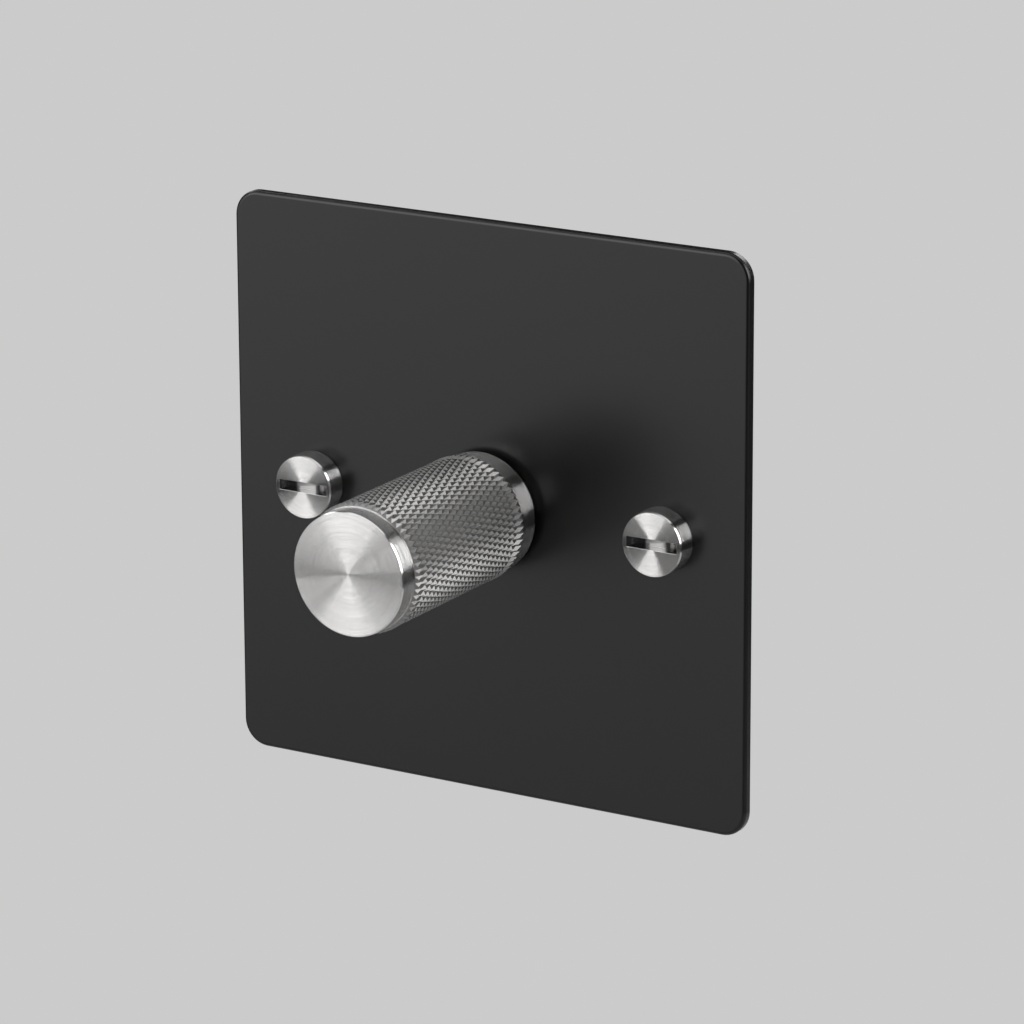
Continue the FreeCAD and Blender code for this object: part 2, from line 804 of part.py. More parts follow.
def make_housing():
    # Moulded rear box: posts for the screws, feet for the board, ribs between the
    # terminals, screwdriver wells, wire entries and vent slots
    housing = new_body("housing")
    front = "heat_plate_thickness"
    add_slab(housing, "block", front, housing_back, draw_module_outline)
    round_edges(housing, "corners", "module_corner", along_depth)
    round_edges(housing, "back_edge", "module_edge_round", at_station(housing_back))
    cut_slab(housing, "room", front, housing_inner,
             lambda s: draw_rectangle(s, f"-{room_across}", room_across,
                                      f"-{room_up}", room_up))
    add_slab(housing, "posts", front, housing_inner,
             lambda s: draw_at_posts(s, "post_diameter / 2"))
    add_slab(housing, "feet", board_back, housing_inner,
             lambda s: draw_at_posts(s, f"{notch_radius} + foot_ledge"))

    def draw_ribs(sketch):
        for side in (-1, 1):
            middle = f"{side} * terminal_pitch / 2"
            draw_rectangle(sketch, f"{middle} - rib_thickness / 2",
                           f"{middle} + rib_thickness / 2",
                           f"-{room_up}", f"-{room_up} + rib_height")

    add_slab(housing, "ribs", f"{board_back} + post_clearance", housing_inner, draw_ribs)
    cut_slab(housing, "pilots", front, f"housing_screw_length + post_clearance",
             lambda s: draw_at_posts(s, pilot_radius))

    def draw_wells(sketch):
        for side in terminal_sides.values():
            draw_circle(sketch, f"{side} * terminal_pitch", terminal_up, "well_diameter / 2")

    cut_slab(housing, "wells", housing_inner, housing_back, draw_wells)

    def draw_vents(sketch):
        for side in (-1, 1):
            middle = f"{side} * (vent_gap + vent_length) / 2"
            for level in range(round(number("vent_rows"))):
                low = f"{level} * vent_pitch + vent_width"
                draw_rectangle(sketch, f"{middle} - vent_length / 2",
                               f"{middle} + vent_length / 2",
                               low, f"{low} + vent_width")

    cut_slab(housing, "vents", housing_inner, housing_back, draw_vents)

    def draw_wire_entries(sketch):
        for side in terminal_sides.values():
            draw_circle(sketch, f"{side} * terminal_pitch", f"{board_back} + {wire_depth}",
                        "wire_bore / 2 + wire_entry_play")

    cut_upward(housing, "wire_entries", "-module_height / 2", f"-{room_up}",
               draw_wire_entries)
    return housing


def make_housing_screws():
    # Countersunk screws that hold the heat plate on the housing's posts
    screws = []
    radius = f"{pilot_radius} - housing_screw_play"
    top = "housing_screw_play"
    for index, (side, level) in enumerate(post_corners, start=1):
        screw = new_body(f"housing_screw_body_{index}")
        add_turned(screw, f"screw_blank_{index}", [
            ("0", top),
            (f"{radius} + countersink", top),
            (radius, f"{top} + countersink"),
            (radius, "housing_screw_length"),
            ("0", "housing_screw_length"),
        ])
        cut_slab(screw, f"screw_slot_{index}", top, f"{top} + countersink / 2",
                 lambda s: draw_rectangle(s, "-pilot_diameter", "pilot_diameter",
                                          "-housing_screw_slot / 2",
                                          "housing_screw_slot / 2"))
        place(screw, f"{side} * {post_across}", "0", f"{level} * {post_up}")
        screws.append(screw)
    return group("housing_screws", screws)


def pin_places():
    # Where pins and leads pass through the circuit board: across, up
    places = [(f"{side} * contact_spacing / 2", "0") for side in (-1, 1)]
    places += [(f"{side} * pot_pin_pitch", pot_pin_up) for side in (-1, 0, 1)]
    places += [(f"{side} * terminal_pitch", terminal_up) for side in terminal_sides.values()]
    for level in (-1, 1):
        places += [(f"{column_across} + {side} * lead_pitch", f"{level} * {lead_up}")
                   for side in (-1, 0, 1)]
    return places


def make_circuit_board():
    board = new_body("circuit_board")
    across = f"({room_across} - board_margin)"
    up = f"({room_up} - board_margin)"
    add_slab(board, "sheet", board_front, board_back,
             lambda s: draw_rectangle(s, f"-{across}", across, f"-{up}", up))
    for index, corner in enumerate(post_corners, start=1):
        side, level = corner
        cut_slab(board, f"post_notch_{index}", board_front, board_back,
                 lambda s: draw_circle(s, f"{side} * {post_across}", f"{level} * {post_up}",
                                       notch_radius))

    def draw_pin_holes(sketch):
        for across_pin, up_pin in pin_places():
            draw_circle(sketch, across_pin, up_pin, "pin_diameter / 2 + pin_play")

    cut_slab(board, "pin_holes", board_front, board_back, draw_pin_holes)
    return board


def make_pot_case():
    # Square moulded cup with a wedge inside that stops the rotor at each end of its turn
    case = new_body("pot_case")
    half = "case_size / 2"
    add_slab(case, "block", pot_front, switch_front,
             lambda s: draw_rectangle(s, f"-{half}", half, f"-{half}", half))
    cut_slab(case, "cavity", pot_front, pot_inner_floor,
             lambda s: draw_circle(s, "0", "0", "pot_cavity_diameter / 2"))
    inner = "(rotor_diameter / 2 + stop_clearance)"
    spread = "tan(stop_angle / 2)"
    add_slab(case, "stop", pot_front, f"{rotor_back} + rotor_gap",
             lambda s: draw_polygon(s, [(f"-{inner} * {spread}", inner),
                                        (f"{inner} * {spread}", inner),
                                        (f"{half} * {spread}", half),
                                        (f"-{half} * {spread}", half)]))
    cut_slab(case, "shaft_hole", pot_inner_floor, switch_front,
             lambda s: draw_circle(s, "0", "0", f"{shaft_bore_radius} + clip_gap"))
    return case


def make_pot_wafer():
    wafer = new_body("pot_wafer")
    add_turned(wafer, "wafer_ring", [
        ("wafer_bore / 2", wafer_front),
        ("wafer_diameter / 2", wafer_front),
        ("wafer_diameter / 2", pot_inner_floor),
        ("wafer_bore / 2", pot_inner_floor),
    ])
    return wafer


def make_pot_rotor():
    # Disc keyed to the shaft, with a lug that meets the case's stop
    rotor = new_body("pot_rotor")
    add_slab(rotor, "disc", rotor_front, rotor_back,
             lambda s: draw_circle(s, "0", "0", "rotor_diameter / 2"))
    half_turn = "lug_angle / 2"
    reach = "lug_diameter / 2"
    start = "rotor_diameter / 4"
    add_slab(rotor, "lug", rotor_front, rotor_back,
             lambda s: draw_polygon(s, [(f"-{start} * sin({half_turn})",
                                         f"-{start} * cos({half_turn})"),
                                        (f"{start} * sin({half_turn})",
                                         f"-{start} * cos({half_turn})"),
                                        (f"{reach} * sin({half_turn})",
                                         f"-{reach} * cos({half_turn})"),
                                        (f"-{reach} * sin({half_turn})",
                                         f"-{reach} * cos({half_turn})")]))
    cut_slab(rotor, "bore", rotor_front, rotor_back,
             lambda s: draw_circle(s, "0", "0", shaft_bore_radius))
    fill_flat(rotor, "key", rotor_front, rotor_back)
    return rotor


def make_pot_wiper():
    # Sheet ring on the rotor with two sprung arms that reach down to the wafer's track
    wiper = new_body("pot_wiper")
    ring_back = f"{rotor_back} + wiper_sheet"
    tip = f"({wafer_front} - wiper_clearance)"
    low = "((wafer_diameter + wafer_bore) / -4 - wiper_arm_width / 2)"
    add_slab(wiper, "ring", rotor_back, ring_back,
             lambda s: draw_circle(s, "0", "0", "wiper_ring_diameter / 2"))
    cut_slab(wiper, "ring_bore", rotor_back, ring_back,
             lambda s: draw_circle(s, "0", "0", "wiper_ring_bore / 2"))
    neck_top = "-(wiper_ring_diameter + wiper_ring_bore) / 4"
    add_slab(wiper, "neck", rotor_back, ring_back,
             lambda s: draw_rectangle(s, "-wiper_neck / 2", "wiper_neck / 2", low, neck_top))
    span = "wiper_arm_span / 2"
    sketch = new_sketch(wiper, "arms_profile", "XY_Plane", low)
    draw_polygon(sketch, [("0", rotor_back), (span, f"{tip} - wiper_sheet"), (span, tip),
                          ("0", ring_back), (f"-{span}", tip),
                          (f"-{span}", f"{tip} - wiper_sheet")])
    arms = wiper.newObject("PartDesign::Pad", "arms")
    arms.Profile = sketch
    bind(arms, "Length", "wiper_arm_width")
    doc.recompute()
    return wiper


def make_pot_pins():
    # Bent pins from the case's lower side back to the circuit board
    pins = []
    thickness = "pot_pin_thickness"
    case_low = "(-case_size / 2)"
    tail = f"({pot_pin_up} - {thickness} / 2)"
    for index, side in enumerate((-1, 0, 1), start=1):
        pin = new_body(f"pot_pin_body_{index}")
        sketch = new_sketch(pin, f"pin_profile_{index}", "YZ_Plane", f"-{thickness} / 2")
        draw_polygon(sketch, [(wafer_front, case_low),
                              (wafer_front, tail),
                              (pin_back, tail),
                              (pin_back, f"{tail} + {thickness}"),
                              (f"{wafer_front} + {thickness}", f"{tail} + {thickness}"),
                              (f"{wafer_front} + {thickness}", case_low)])
        pad = pin.newObject("PartDesign::Pad", f"pin_strip_{index}")
        pad.Profile = sketch
        bind(pad, "Length", thickness)
        place(pin, f"{side} * pot_pin_pitch")
        pins.append(pin)
    return group("pot_pins", pins)


def make_switch_case():
    # Square case with a well for the plunger and spring and a chamber for the contacts
    case = new_body("switch_case")
    half = "case_size / 2"
    add_slab(case, "block", switch_front, board_front,
             lambda s: draw_rectangle(s, f"-{half}", half, f"-{half}", half))
    cut_slab(case, "well", switch_front, well_floor,
             lambda s: draw_circle(s, "0", "0", "switch_well_diameter / 2"))
    cut_slab(case, "stem_hole", well_floor, chamber_front,
             lambda s: draw_circle(s, "0", "0", "plunger_stem_diameter / 2 + plunger_play"))
    cut_slab(case, "chamber", chamber_front, board_front,
             lambda s: draw_rectangle(s, "-chamber_width / 2", "chamber_width / 2",
                                      "-chamber_height / 2", "chamber_height / 2"))
    return case


def make_plunger():
    plunger = new_body("plunger")
    stem = "plunger_stem_diameter / 2"
    head = "plunger_head_diameter / 2"
    add_turned(plunger, "plunger_blank", [
        ("0", plunger_front),
        (head, plunger_front),
        (head, plunger_shoulder),
        (stem, plunger_shoulder),
        (stem, bridge_front),
        ("0", bridge_front),
    ])
    return plunger


def make_contact_bridge():
    # Flat bar across the stem's end with a raised pip at each end
    bridge = new_body("contact_bridge")
    add_slab(bridge, "bar", bridge_front, bridge_back,
             lambda s: draw_rectangle(s, "-bridge_width / 2", "bridge_width / 2",
                                      "-bridge_height / 2", "bridge_height / 2"))

    def draw_pips(sketch):
        for side in (-1, 1):
            draw_circle(sketch, f"{side} * contact_spacing / 2", "0", "pip_diameter / 2")

    add_slab(bridge, "pips", bridge_back, pip_back, draw_pips)
    return bridge


def make_fixed_contacts():
    contacts = []
    pin = "pin_diameter / 2"
    button = "contact_diameter / 2"
    for index, side in enumerate((-1, 1), start=1):
        contact = new_body(f"fixed_contact_body_{index}")
        add_turned(contact, f"contact_blank_{index}", [
            ("0", contact_front),
            (button, contact_front),
            (button, board_front),
            (pin, board_front),
            (pin, pin_back),
            ("0", pin_back),
        ])
        place(contact, f"{side} * contact_spacing / 2")
        contacts.append(contact)
    return group("fixed_contacts", contacts)


def make_return_spring():
    # Coil between the plunger's head and the floor of the well, as flat facets
    wire = number("spring_wire") / 2
    radius = number("spring_diameter") / 2
    turns = number("spring_turns")
    front = number(f"{plunger_shoulder} + spring_end_gap") + wire
    back = number(f"{well_floor} - spring_end_gap") - wire
    steps = round(turns * number("coil_facets"))
    sides = round(number("wire_facets"))
    rings = []
    for step in range(steps + 1):
        turned = 2 * math.pi * turns * step / steps
        centre = front + (back - front) * step / steps
        ring = []
        for side in range(sides):
            lean = 2 * math.pi * side / sides
            out = radius + wire * math.cos(lean)
            depth = centre + wire * math.sin(lean)
            ring.append((out * math.cos(turned), depth, out * math.sin(turned)))
        rings.append(ring)
    facets = []
    for ring in range(steps):
        for side in range(sides):
            here = ring * sides + side
            beside = ring * sides + (side + 1) % sides
            facets.append((here, beside, here + sides))
            facets.append((beside, beside + sides, here + sides))
    last = steps * sides
    for side in range(1, sides - 1):
        facets.append((0, side + 1, side))
        facets.append((last, last + side, last + side + 1))
    skin = Part.Shape()
    skin.makeShapeFromMesh(([point for ring in rings for point in ring], facets), 0.0001)
    return add_feature("return_spring", solid_from(skin.Faces))


def make_transistor(index, level):
    # Flat power package: a metal tab with a hole, a moulded body and three bent leads
    part = new_body(f"transistor_body_{index}")
    tab_front = "(heat_plate_thickness + pad_thickness)"
    tab_back = f"({tab_front} + transistor_tab)"
    body_back = f"({tab_front} + transistor_thickness)"
    near = "transistor_offset"
    half = "transistor_width / 2"
    far = f"({near} + transistor_length)"

    def span(low, high):
        return (f"{level} * ({low})", f"{level} * ({high})")

    def draw_span(sketch, low, high):
        ends = span(low, high)
        draw_rectangle(sketch, f"-{half}", half, ends[0], ends[1])

    add_slab(part, f"tab_{index}", tab_front, tab_back, lambda s: draw_span(s, near, far))
    add_slab(part, f"moulding_{index}", tab_back, body_back,
             lambda s: draw_span(s, near, f"{near} + transistor_body_length"))
    hole_up = f"{level} * ({far} - (transistor_length - transistor_body_length) / 2)"
    cut_slab(part, f"tab_hole_{index}", tab_front, tab_back,
             lambda s: draw_circle(s, "0", hole_up, "transistor_hole / 2"))
    lead_front = f"{tab_back} + lead_thickness"
    inner = f"{level} * ({lead_up} - lead_thickness / 2)"
    outer = f"{level} * ({lead_up} + lead_thickness / 2)"
    mouth = f"{level} * {near}"
    for side in (-1, 0, 1):
        middle = f"{side} * lead_pitch"
        sketch = new_sketch(part, f"lead_{index}_{side + 1}_profile", "YZ_Plane",
                            f"{middle} - lead_width / 2")
        draw_polygon(sketch, [(lead_front, mouth), (lead_front, inner), (pin_back, inner),
                              (pin_back, outer),
                              (f"{lead_front} + lead_thickness", outer),
                              (f"{lead_front} + lead_thickness", mouth)])
        pad = part.newObject("PartDesign::Pad", f"lead_{index}_{side + 1}")
        pad.Profile = sketch
        bind(pad, "Length", "lead_width")
        doc.recompute()
    place(part, column_across)
    return part


def make_power_transistors():
    pair = [make_transistor(1, 1), make_transistor(2, -1)]
    return group("power_transistors", pair)


def make_transistor_pads():
    # Thin insulating pads between the transistors' tabs and the heat plate
    pads = []
    half = "transistor_width / 2"
    for index, level in enumerate((1, -1), start=1):
        pad = new_body(f"transistor_pad_body_{index}")
        near = f"{level} * transistor_offset"
        far = f"{level} * (transistor_offset + transistor_length)"
        add_slab(pad, f"pad_{index}", "heat_plate_thickness",
                 "heat_plate_thickness + pad_thickness",
                 lambda s: draw_rectangle(s, f"-{half}", half, near, far))
        place(pad, column_across)
        pads.append(pad)
    return group("transistor_pads", pads)


def make_inductor_core():
    core = new_body("inductor_core")
    front = f"({board_front} - inductor_height)"
    flange = "inductor_diameter / 2"
    neck = "inductor_core_diameter / 2"
    add_turned(core, "drum", [
        ("0", front),
        (flange, front),
        (flange, f"{front} + inductor_flange"),
        (neck, f"{front} + inductor_flange"),
        (neck, f"{board_front} - inductor_flange"),
        (flange, f"{board_front} - inductor_flange"),
        (flange, board_front),
        ("0", board_front),
    ])
    place(core, f"-{column_across}", "0", inductor_up)
    return core


def make_inductor_winding():
    winding = new_body("inductor_winding")
    inside = "inductor_core_diameter / 2 + winding_play"
    outside = "inductor_diameter / 2 - winding_inset"
    front = f"{board_front} - inductor_height + inductor_flange + winding_play"
    back = f"{board_front} - inductor_flange - winding_play"
    add_turned(winding, "coil", [(inside, front), (outside, front),
                                 (outside, back), (inside, back)])
    place(winding, f"-{column_across}", "0", inductor_up)
    return winding


def make_film_capacitor():
    box = new_body("film_capacitor")
    front = f"{board_front} - film_depth"
    add_slab(box, "box", front, board_front,
             lambda s: draw_rectangle(s, "-film_width / 2", "film_width / 2",
                                      "-film_height / 2", "film_height / 2"))
    round_edges(box, "edges", "film_round",
                lambda edge: along_depth(edge) or at_station(front)(edge))
    place(box, f"-{column_across}")
    return box


def make_smoothing_capacitor():
    # Aluminium can with a rolled groove near its foot
    can = new_body("smoothing_capacitor")
    radius = "can_diameter / 2"
    front = f"({board_front} - can_height)"
    add_turned(can, "can", [
        ("0", front),
        (f"{radius} - can_groove", front),
        (radius, f"{front} + can_groove"),
        (radius, f"{board_front} - 4 * can_groove"),
        (f"{radius} - can_groove", f"{board_front} - 3 * can_groove"),
        (radius, f"{board_front} - 2 * can_groove"),
        (radius, board_front),
        ("0", board_front),
    ])
    place(can, f"-{column_across}", "0", f"-{can_down}")
    return can


def make_control_chip():
    # Small moulded package with seven flat legs along each long side
    chip = new_body("control_chip")
    body_back = f"({board_front} - chip_stand_off)"
    add_slab(chip, "moulding", f"{body_back} - chip_depth", body_back,
             lambda s: draw_rectangle(s, "-chip_width / 2", "chip_width / 2",
                                      "-chip_height / 2", "chip_height / 2"))

    def draw_legs(sketch):
        for level in (-1, 1):
            root = f"{level} * (chip_height / 2 - leg_thickness)"
            tip = f"{level} * (chip_height / 2 + leg_length)"
            for step in range(-3, 4):
                middle = f"{step} * leg_pitch"
                draw_rectangle(sketch, f"{middle} - leg_width / 2",
                               f"{middle} + leg_width / 2", root, tip)

    add_slab(chip, "legs", f"{body_back} - leg_thickness", board_front, draw_legs)
    place(chip, "0", "0", chip_up)
    return chip


def add_lying(body, name, corners):
    # A solid of revolution about the X axis: corners are (station, radius) pairs
    sketch = new_sketch(body, name + "_profile", "XY_Plane", "0")
    draw_polygon(sketch, corners)
    turning = body.newObject("PartDesign::Revolution", name)
    turning.Profile = sketch
    turning.ReferenceAxis = (sketch, ["H_Axis"])
    turning.Angle = 360
    doc.recompute()
    return turning


def make_fuse():
    # Small cartridge fuse lying across the board, with a wider cap at each end
    fuse = new_body("fuse")
    cap = "fuse_diameter / 2"
    tube = f"({cap} - fuse_neck)"
    end = "fuse_length / 2"
    add_lying(fuse, "cartridge", [
        (f"-{end}", "0"), (f"-{end}", cap), (f"-{end} + fuse_cap", cap),
        (f"-{end} + fuse_cap", tube), (f"{end} - fuse_cap", tube),
        (f"{end} - fuse_cap", cap), (end, cap), (end, "0"),
    ])
    place(fuse, "0", f"{board_front} - {cap}", f"-{fuse_down}")
    return fuse


def make_resistors():
    parts = []
    radius = "resistor_diameter / 2"
    end = "resistor_length / 2"
    for index, level in enumerate((1, -1), start=1):
        part = new_body(f"resistor_body_{index}")
        add_lying(part, f"resistor_{index}", [
            (f"-{end}", "0"), (f"-{end}", radius), (end, radius), (end, "0")])
        place(part, "0", f"{board_front} - {radius}", f"{level} * {resistor_up}")
        parts.append(part)
    return group("resistors", parts)


def make_terminal(label, foot, pin_length):
    # Brass pillar with a wire bore along Z and a threaded hole from the back. It is drawn
    # with its front face at the origin and is then put in place
    block = new_body(label)
    half = "terminal_width / 2"
    end = "terminal_length / 2"
    add_slab(block, label + "_pillar", "0", "terminal_depth",
             lambda s: draw_rectangle(s, f"-{half}", half, f"-{end}", end))
    round_edges(block, label + "_corners", "terminal_corner", along_depth)
    cut_upward(block, label + "_wire_bore", f"-{end}", end,
               lambda s: draw_circle(s, "0", wire_depth, "wire_bore / 2"))
    cut_slab(block, label + "_thread", wire_depth, "terminal_depth",
             lambda s: draw_circle(s, "0", "0", "clamp_diameter / 2 + clamp_play"))
    if foot != "0":
        add_slab(block, label + "_foot", f"-{foot}", "0",
                 lambda s: draw_rectangle(s, f"-{half}", half, f"-{end} - earth_foot_overhang",
                                          f"{end} + earth_foot_overhang"))
    if pin_length != "0":
        add_slab(block, label + "_pin", f"-({pin_length})", "0",
                 lambda s: draw_circle(s, "0", "0", "pin_diameter / 2"))
    return block


def make_clamp_screw(label):
    # Slotted cheese-head screw, backed off so that its tip just clears the wire bore
    screw = new_body(label)
    shank = "clamp_diameter / 2"
    tip = f"({wire_depth} + wire_bore / 2 + clamp_tip_gap)"
    under_head = "(terminal_depth + clamp_head_gap)"
    top = f"({under_head} + clamp_head)"
    add_turned(screw, label + "_blank", [
        ("0", tip),
        (shank, tip),
        (shank, under_head),
        ("clamp_head_diameter / 2", under_head),
        ("clamp_head_diameter / 2", top),
        ("0", top),
    ])
    cut_slab(screw, label + "_slot", f"{top} - clamp_slot_depth", top,
             lambda s: draw_rectangle(s, "-clamp_head_diameter / 2", "clamp_head_diameter / 2",
                                      "-clamp_slot_width / 2", "clamp_slot_width / 2"))
    return screw


def make_terminals(pieces):
    screws = []
    for name, side in terminal_sides.items():
        block = make_terminal(f"terminal_{name}", "0", "board_thickness")
        place(block, f"{side} * terminal_pitch", board_back, terminal_up)
        pieces[f"terminal_{name}"] = block
        screw = make_clamp_screw(f"clamp_screw_{name}")
        place(screw, f"{side} * terminal_pitch", board_back, terminal_up)
        screws.append(screw)
    pieces["terminal_screws"] = group("terminal_screws", screws)


def make_earth_terminal(pieces):
    # The same pillar on a foot welded to the plate's back, turned to take a wire from the side
    sideways = FreeCAD.Rotation(FreeCAD.Vector(0, 1, 0), 90)
    block = make_terminal("earth_terminal", "earth_foot", "0")
    screw = make_clamp_screw("earth_screw")
    for thing in (block, screw):
        thing.Placement = FreeCAD.Placement(FreeCAD.Vector(0, 0, 0), sideways)
        place(thing, "earth_across", "earth_foot", earth_up)
    pieces["earth_terminal"] = block
    pieces["earth_screw"] = screw


def make_pieces():
    pieces = {
        "front_plate": make_front_plate(),
        "coin_screw_left": make_coin_screw("coin_screw_left", -1),
        "coin_screw_right": make_coin_screw("coin_screw_right", 1),
        "knob": make_knob(),
        "knob_insert": make_knob_insert(),
        "shaft": make_shaft(),
        "shaft_clip": make_shaft_clip(),
        "bush": make_bush(),
        "bush_washer": make_bush_washer(),
        "bush_nut": make_bush_nut(),
        "heat_plate": make_heat_plate(),
        "housing": make_housing(),
        "housing_screws": make_housing_screws(),
        "circuit_board": make_circuit_board(),
        "pot_case": make_pot_case(),
        "pot_wafer": make_pot_wafer(),
        "pot_rotor": make_pot_rotor(),
        "pot_wiper": make_pot_wiper(),
        "pot_pins": make_pot_pins(),
        "switch_case": make_switch_case(),
        "plunger": make_plunger(),
        "contact_bridge": make_contact_bridge(),
        "fixed_contacts": make_fixed_contacts(),
        "return_spring": make_return_spring(),
        "power_transistors": make_power_transistors(),
        "transistor_pads": make_transistor_pads(),
        "inductor_core": make_inductor_core(),
        "inductor_winding": make_inductor_winding(),
        "film_capacitor": make_film_capacitor(),
        "smoothing_capacitor": make_smoothing_capacitor(),
        "control_chip": make_control_chip(),
        "fuse": make_fuse(),
        "resistors": make_resistors(),
    }
    make_terminals(pieces)
    make_earth_terminal(pieces)
    return pieces


def check_pieces(pieces):
    for thing in doc.Objects:
        if "Invalid" in thing.State or "Error" in thing.State:
            raise ValueError(f"{thing.Label} failed to build: {thing.State}")
    for label, piece in pieces.items():
        shape = piece.Shape
        if shape.isNull() or not shape.isValid() or not shape.Solids or shape.Volume <= 0:
            raise ValueError(f"{label} is not a sound solid")


def write_pieces(pieces):
    os.makedirs("parts", exist_ok=True)
    for label, piece in pieces.items():
        piece.Shape.exportStep(f"parts/{label}.step")
        print(label, len(piece.Shape.Solids), "solid(s)", round(piece.Shape.Volume, 2), "mm3")


all_pieces = make_pieces()
doc.recompute()
check_pieces(all_pieces)
write_pieces(all_pieces)
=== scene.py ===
# Dimmer switch: finishes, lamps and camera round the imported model.
# The plate faces -Y, the knob turns about Y and +Z is up. Lengths are in metres, apart
# from values that a note gives in millimetres.
import math

import bmesh
import bpy
from mathutils import Matrix, Vector


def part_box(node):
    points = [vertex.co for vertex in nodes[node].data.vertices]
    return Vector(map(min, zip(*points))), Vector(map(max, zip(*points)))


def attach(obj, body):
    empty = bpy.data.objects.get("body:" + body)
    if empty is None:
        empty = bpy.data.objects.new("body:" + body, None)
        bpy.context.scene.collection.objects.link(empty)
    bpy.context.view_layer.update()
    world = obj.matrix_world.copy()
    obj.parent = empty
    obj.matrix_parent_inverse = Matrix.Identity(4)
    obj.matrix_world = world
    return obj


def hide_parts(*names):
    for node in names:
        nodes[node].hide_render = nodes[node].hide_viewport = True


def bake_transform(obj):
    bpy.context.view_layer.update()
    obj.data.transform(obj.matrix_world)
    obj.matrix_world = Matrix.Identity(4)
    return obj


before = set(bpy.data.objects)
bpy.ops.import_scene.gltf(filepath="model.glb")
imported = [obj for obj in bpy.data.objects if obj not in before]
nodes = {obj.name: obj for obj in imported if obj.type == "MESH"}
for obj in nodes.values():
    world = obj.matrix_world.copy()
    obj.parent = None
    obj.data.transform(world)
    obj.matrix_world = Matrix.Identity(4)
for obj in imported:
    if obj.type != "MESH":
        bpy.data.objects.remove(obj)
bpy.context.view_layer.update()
print("frame loaded:", len(nodes), "nodes")

mm = 0.001
near = 1e-6  # two places no further apart than this are the same


def clearSelection():
    if bpy.context.mode != "OBJECT":
        bpy.ops.object.mode_set(mode="OBJECT")
    bpy.ops.object.select_all(action="DESELECT")


def selectOnly(piece):
    clearSelection()
    piece.select_set(True)
    bpy.context.view_layer.objects.active = piece


def named(name):
    piece = bpy.context.object
    piece.name = name
    piece.data.name = name
    return piece


def pick(piece, kind, test):
    # in edit mode, select only the vertices, edges or faces that pass the test
    bpy.ops.mesh.select_mode(type=kind)
    bpy.ops.mesh.select_all(action="DESELECT")
    shell = bmesh.from_edit_mesh(piece.data)
    group = {"VERT": shell.verts, "EDGE": shell.edges, "FACE": shell.faces}[kind]
    for element in group:
        if test(element):
            element.select_set(True)
    bmesh.update_edit_mesh(piece.data)


def middleOf(element):
    points = [corner.co for corner in element.verts]
    return sum(points, Vector()) / len(points)


def fromAxis(point, centre=(0, 0)):
    return math.hypot(point.x - centre[0], point.z - centre[1])


def ringStart(name, radius, station, around, centre=(0, 0)):
    # an open circle about the Y axis, left in edit mode with all of it selected
    clearSelection()
    bpy.ops.mesh.primitive_circle_add(vertices=around, radius=radius, fill_type="NOTHING",
                                      location=(centre[0], station, centre[1]),
                                      rotation=(math.pi / 2, 0, 0))
    piece = named(name)
    bpy.ops.object.transform_apply(location=True, rotation=True, scale=True)
    bpy.ops.object.mode_set(mode="EDIT")
    bpy.ops.mesh.select_mode(type="VERT")
    bpy.ops.mesh.select_all(action="SELECT")
    return piece


def ringNext(here, there, centre=(0, 0)):
    # pull the selected ring on to the next corner of the profile: (radius, station) pairs
    bpy.ops.mesh.extrude_region_move(
        TRANSFORM_OT_translate={"value": (0, there[1] - here[1], 0)})
    ratio = there[0] / here[0]
    if ratio != 1:
        bpy.ops.transform.resize(value=(ratio, 1, ratio),
                                 center_override=(centre[0], there[1], centre[1]))


def turnAlong(corners, centre=(0, 0)):
    for here, there in zip(corners, corners[1:]):
        ringNext(here, there, centre)


def bevelledRim(radius, face, size):
    # the corners of a bevel that leans more to the side than to the end face
    inward, back = 0.6 * size, 1.04 * size
    return [(radius - inward, face), (radius, face + back)]


def closeEnds(piece, stations):
    # fill the open rim at each of these stations
    for station in stations:
        pick(piece, "EDGE", lambda e: e.is_boundary and abs(middleOf(e).y - station) < near)
        bpy.ops.mesh.edge_face_add()


def finishMesh(piece, angle):
    # weld, point the faces outwards and smooth the edges gentler than the angle
    bpy.ops.mesh.select_mode(type="FACE")
    bpy.ops.mesh.select_all(action="SELECT")
    bpy.ops.mesh.remove_doubles(threshold=near)
    bpy.ops.mesh.normals_make_consistent(inside=False)
    bpy.ops.object.mode_set(mode="OBJECT")
    selectOnly(piece)
    bpy.ops.object.shade_smooth_by_angle(angle=math.radians(angle))
    bpy.ops.object.transform_apply(location=True, rotation=True, scale=True)


def applyAll(piece):
    selectOnly(piece)
    for modifier in list(piece.modifiers):
        bpy.ops.object.modifier_apply(modifier=modifier.name)


def joinInto(piece, other):
    selectOnly(piece)
    other.select_set(True)
    bpy.ops.object.join()


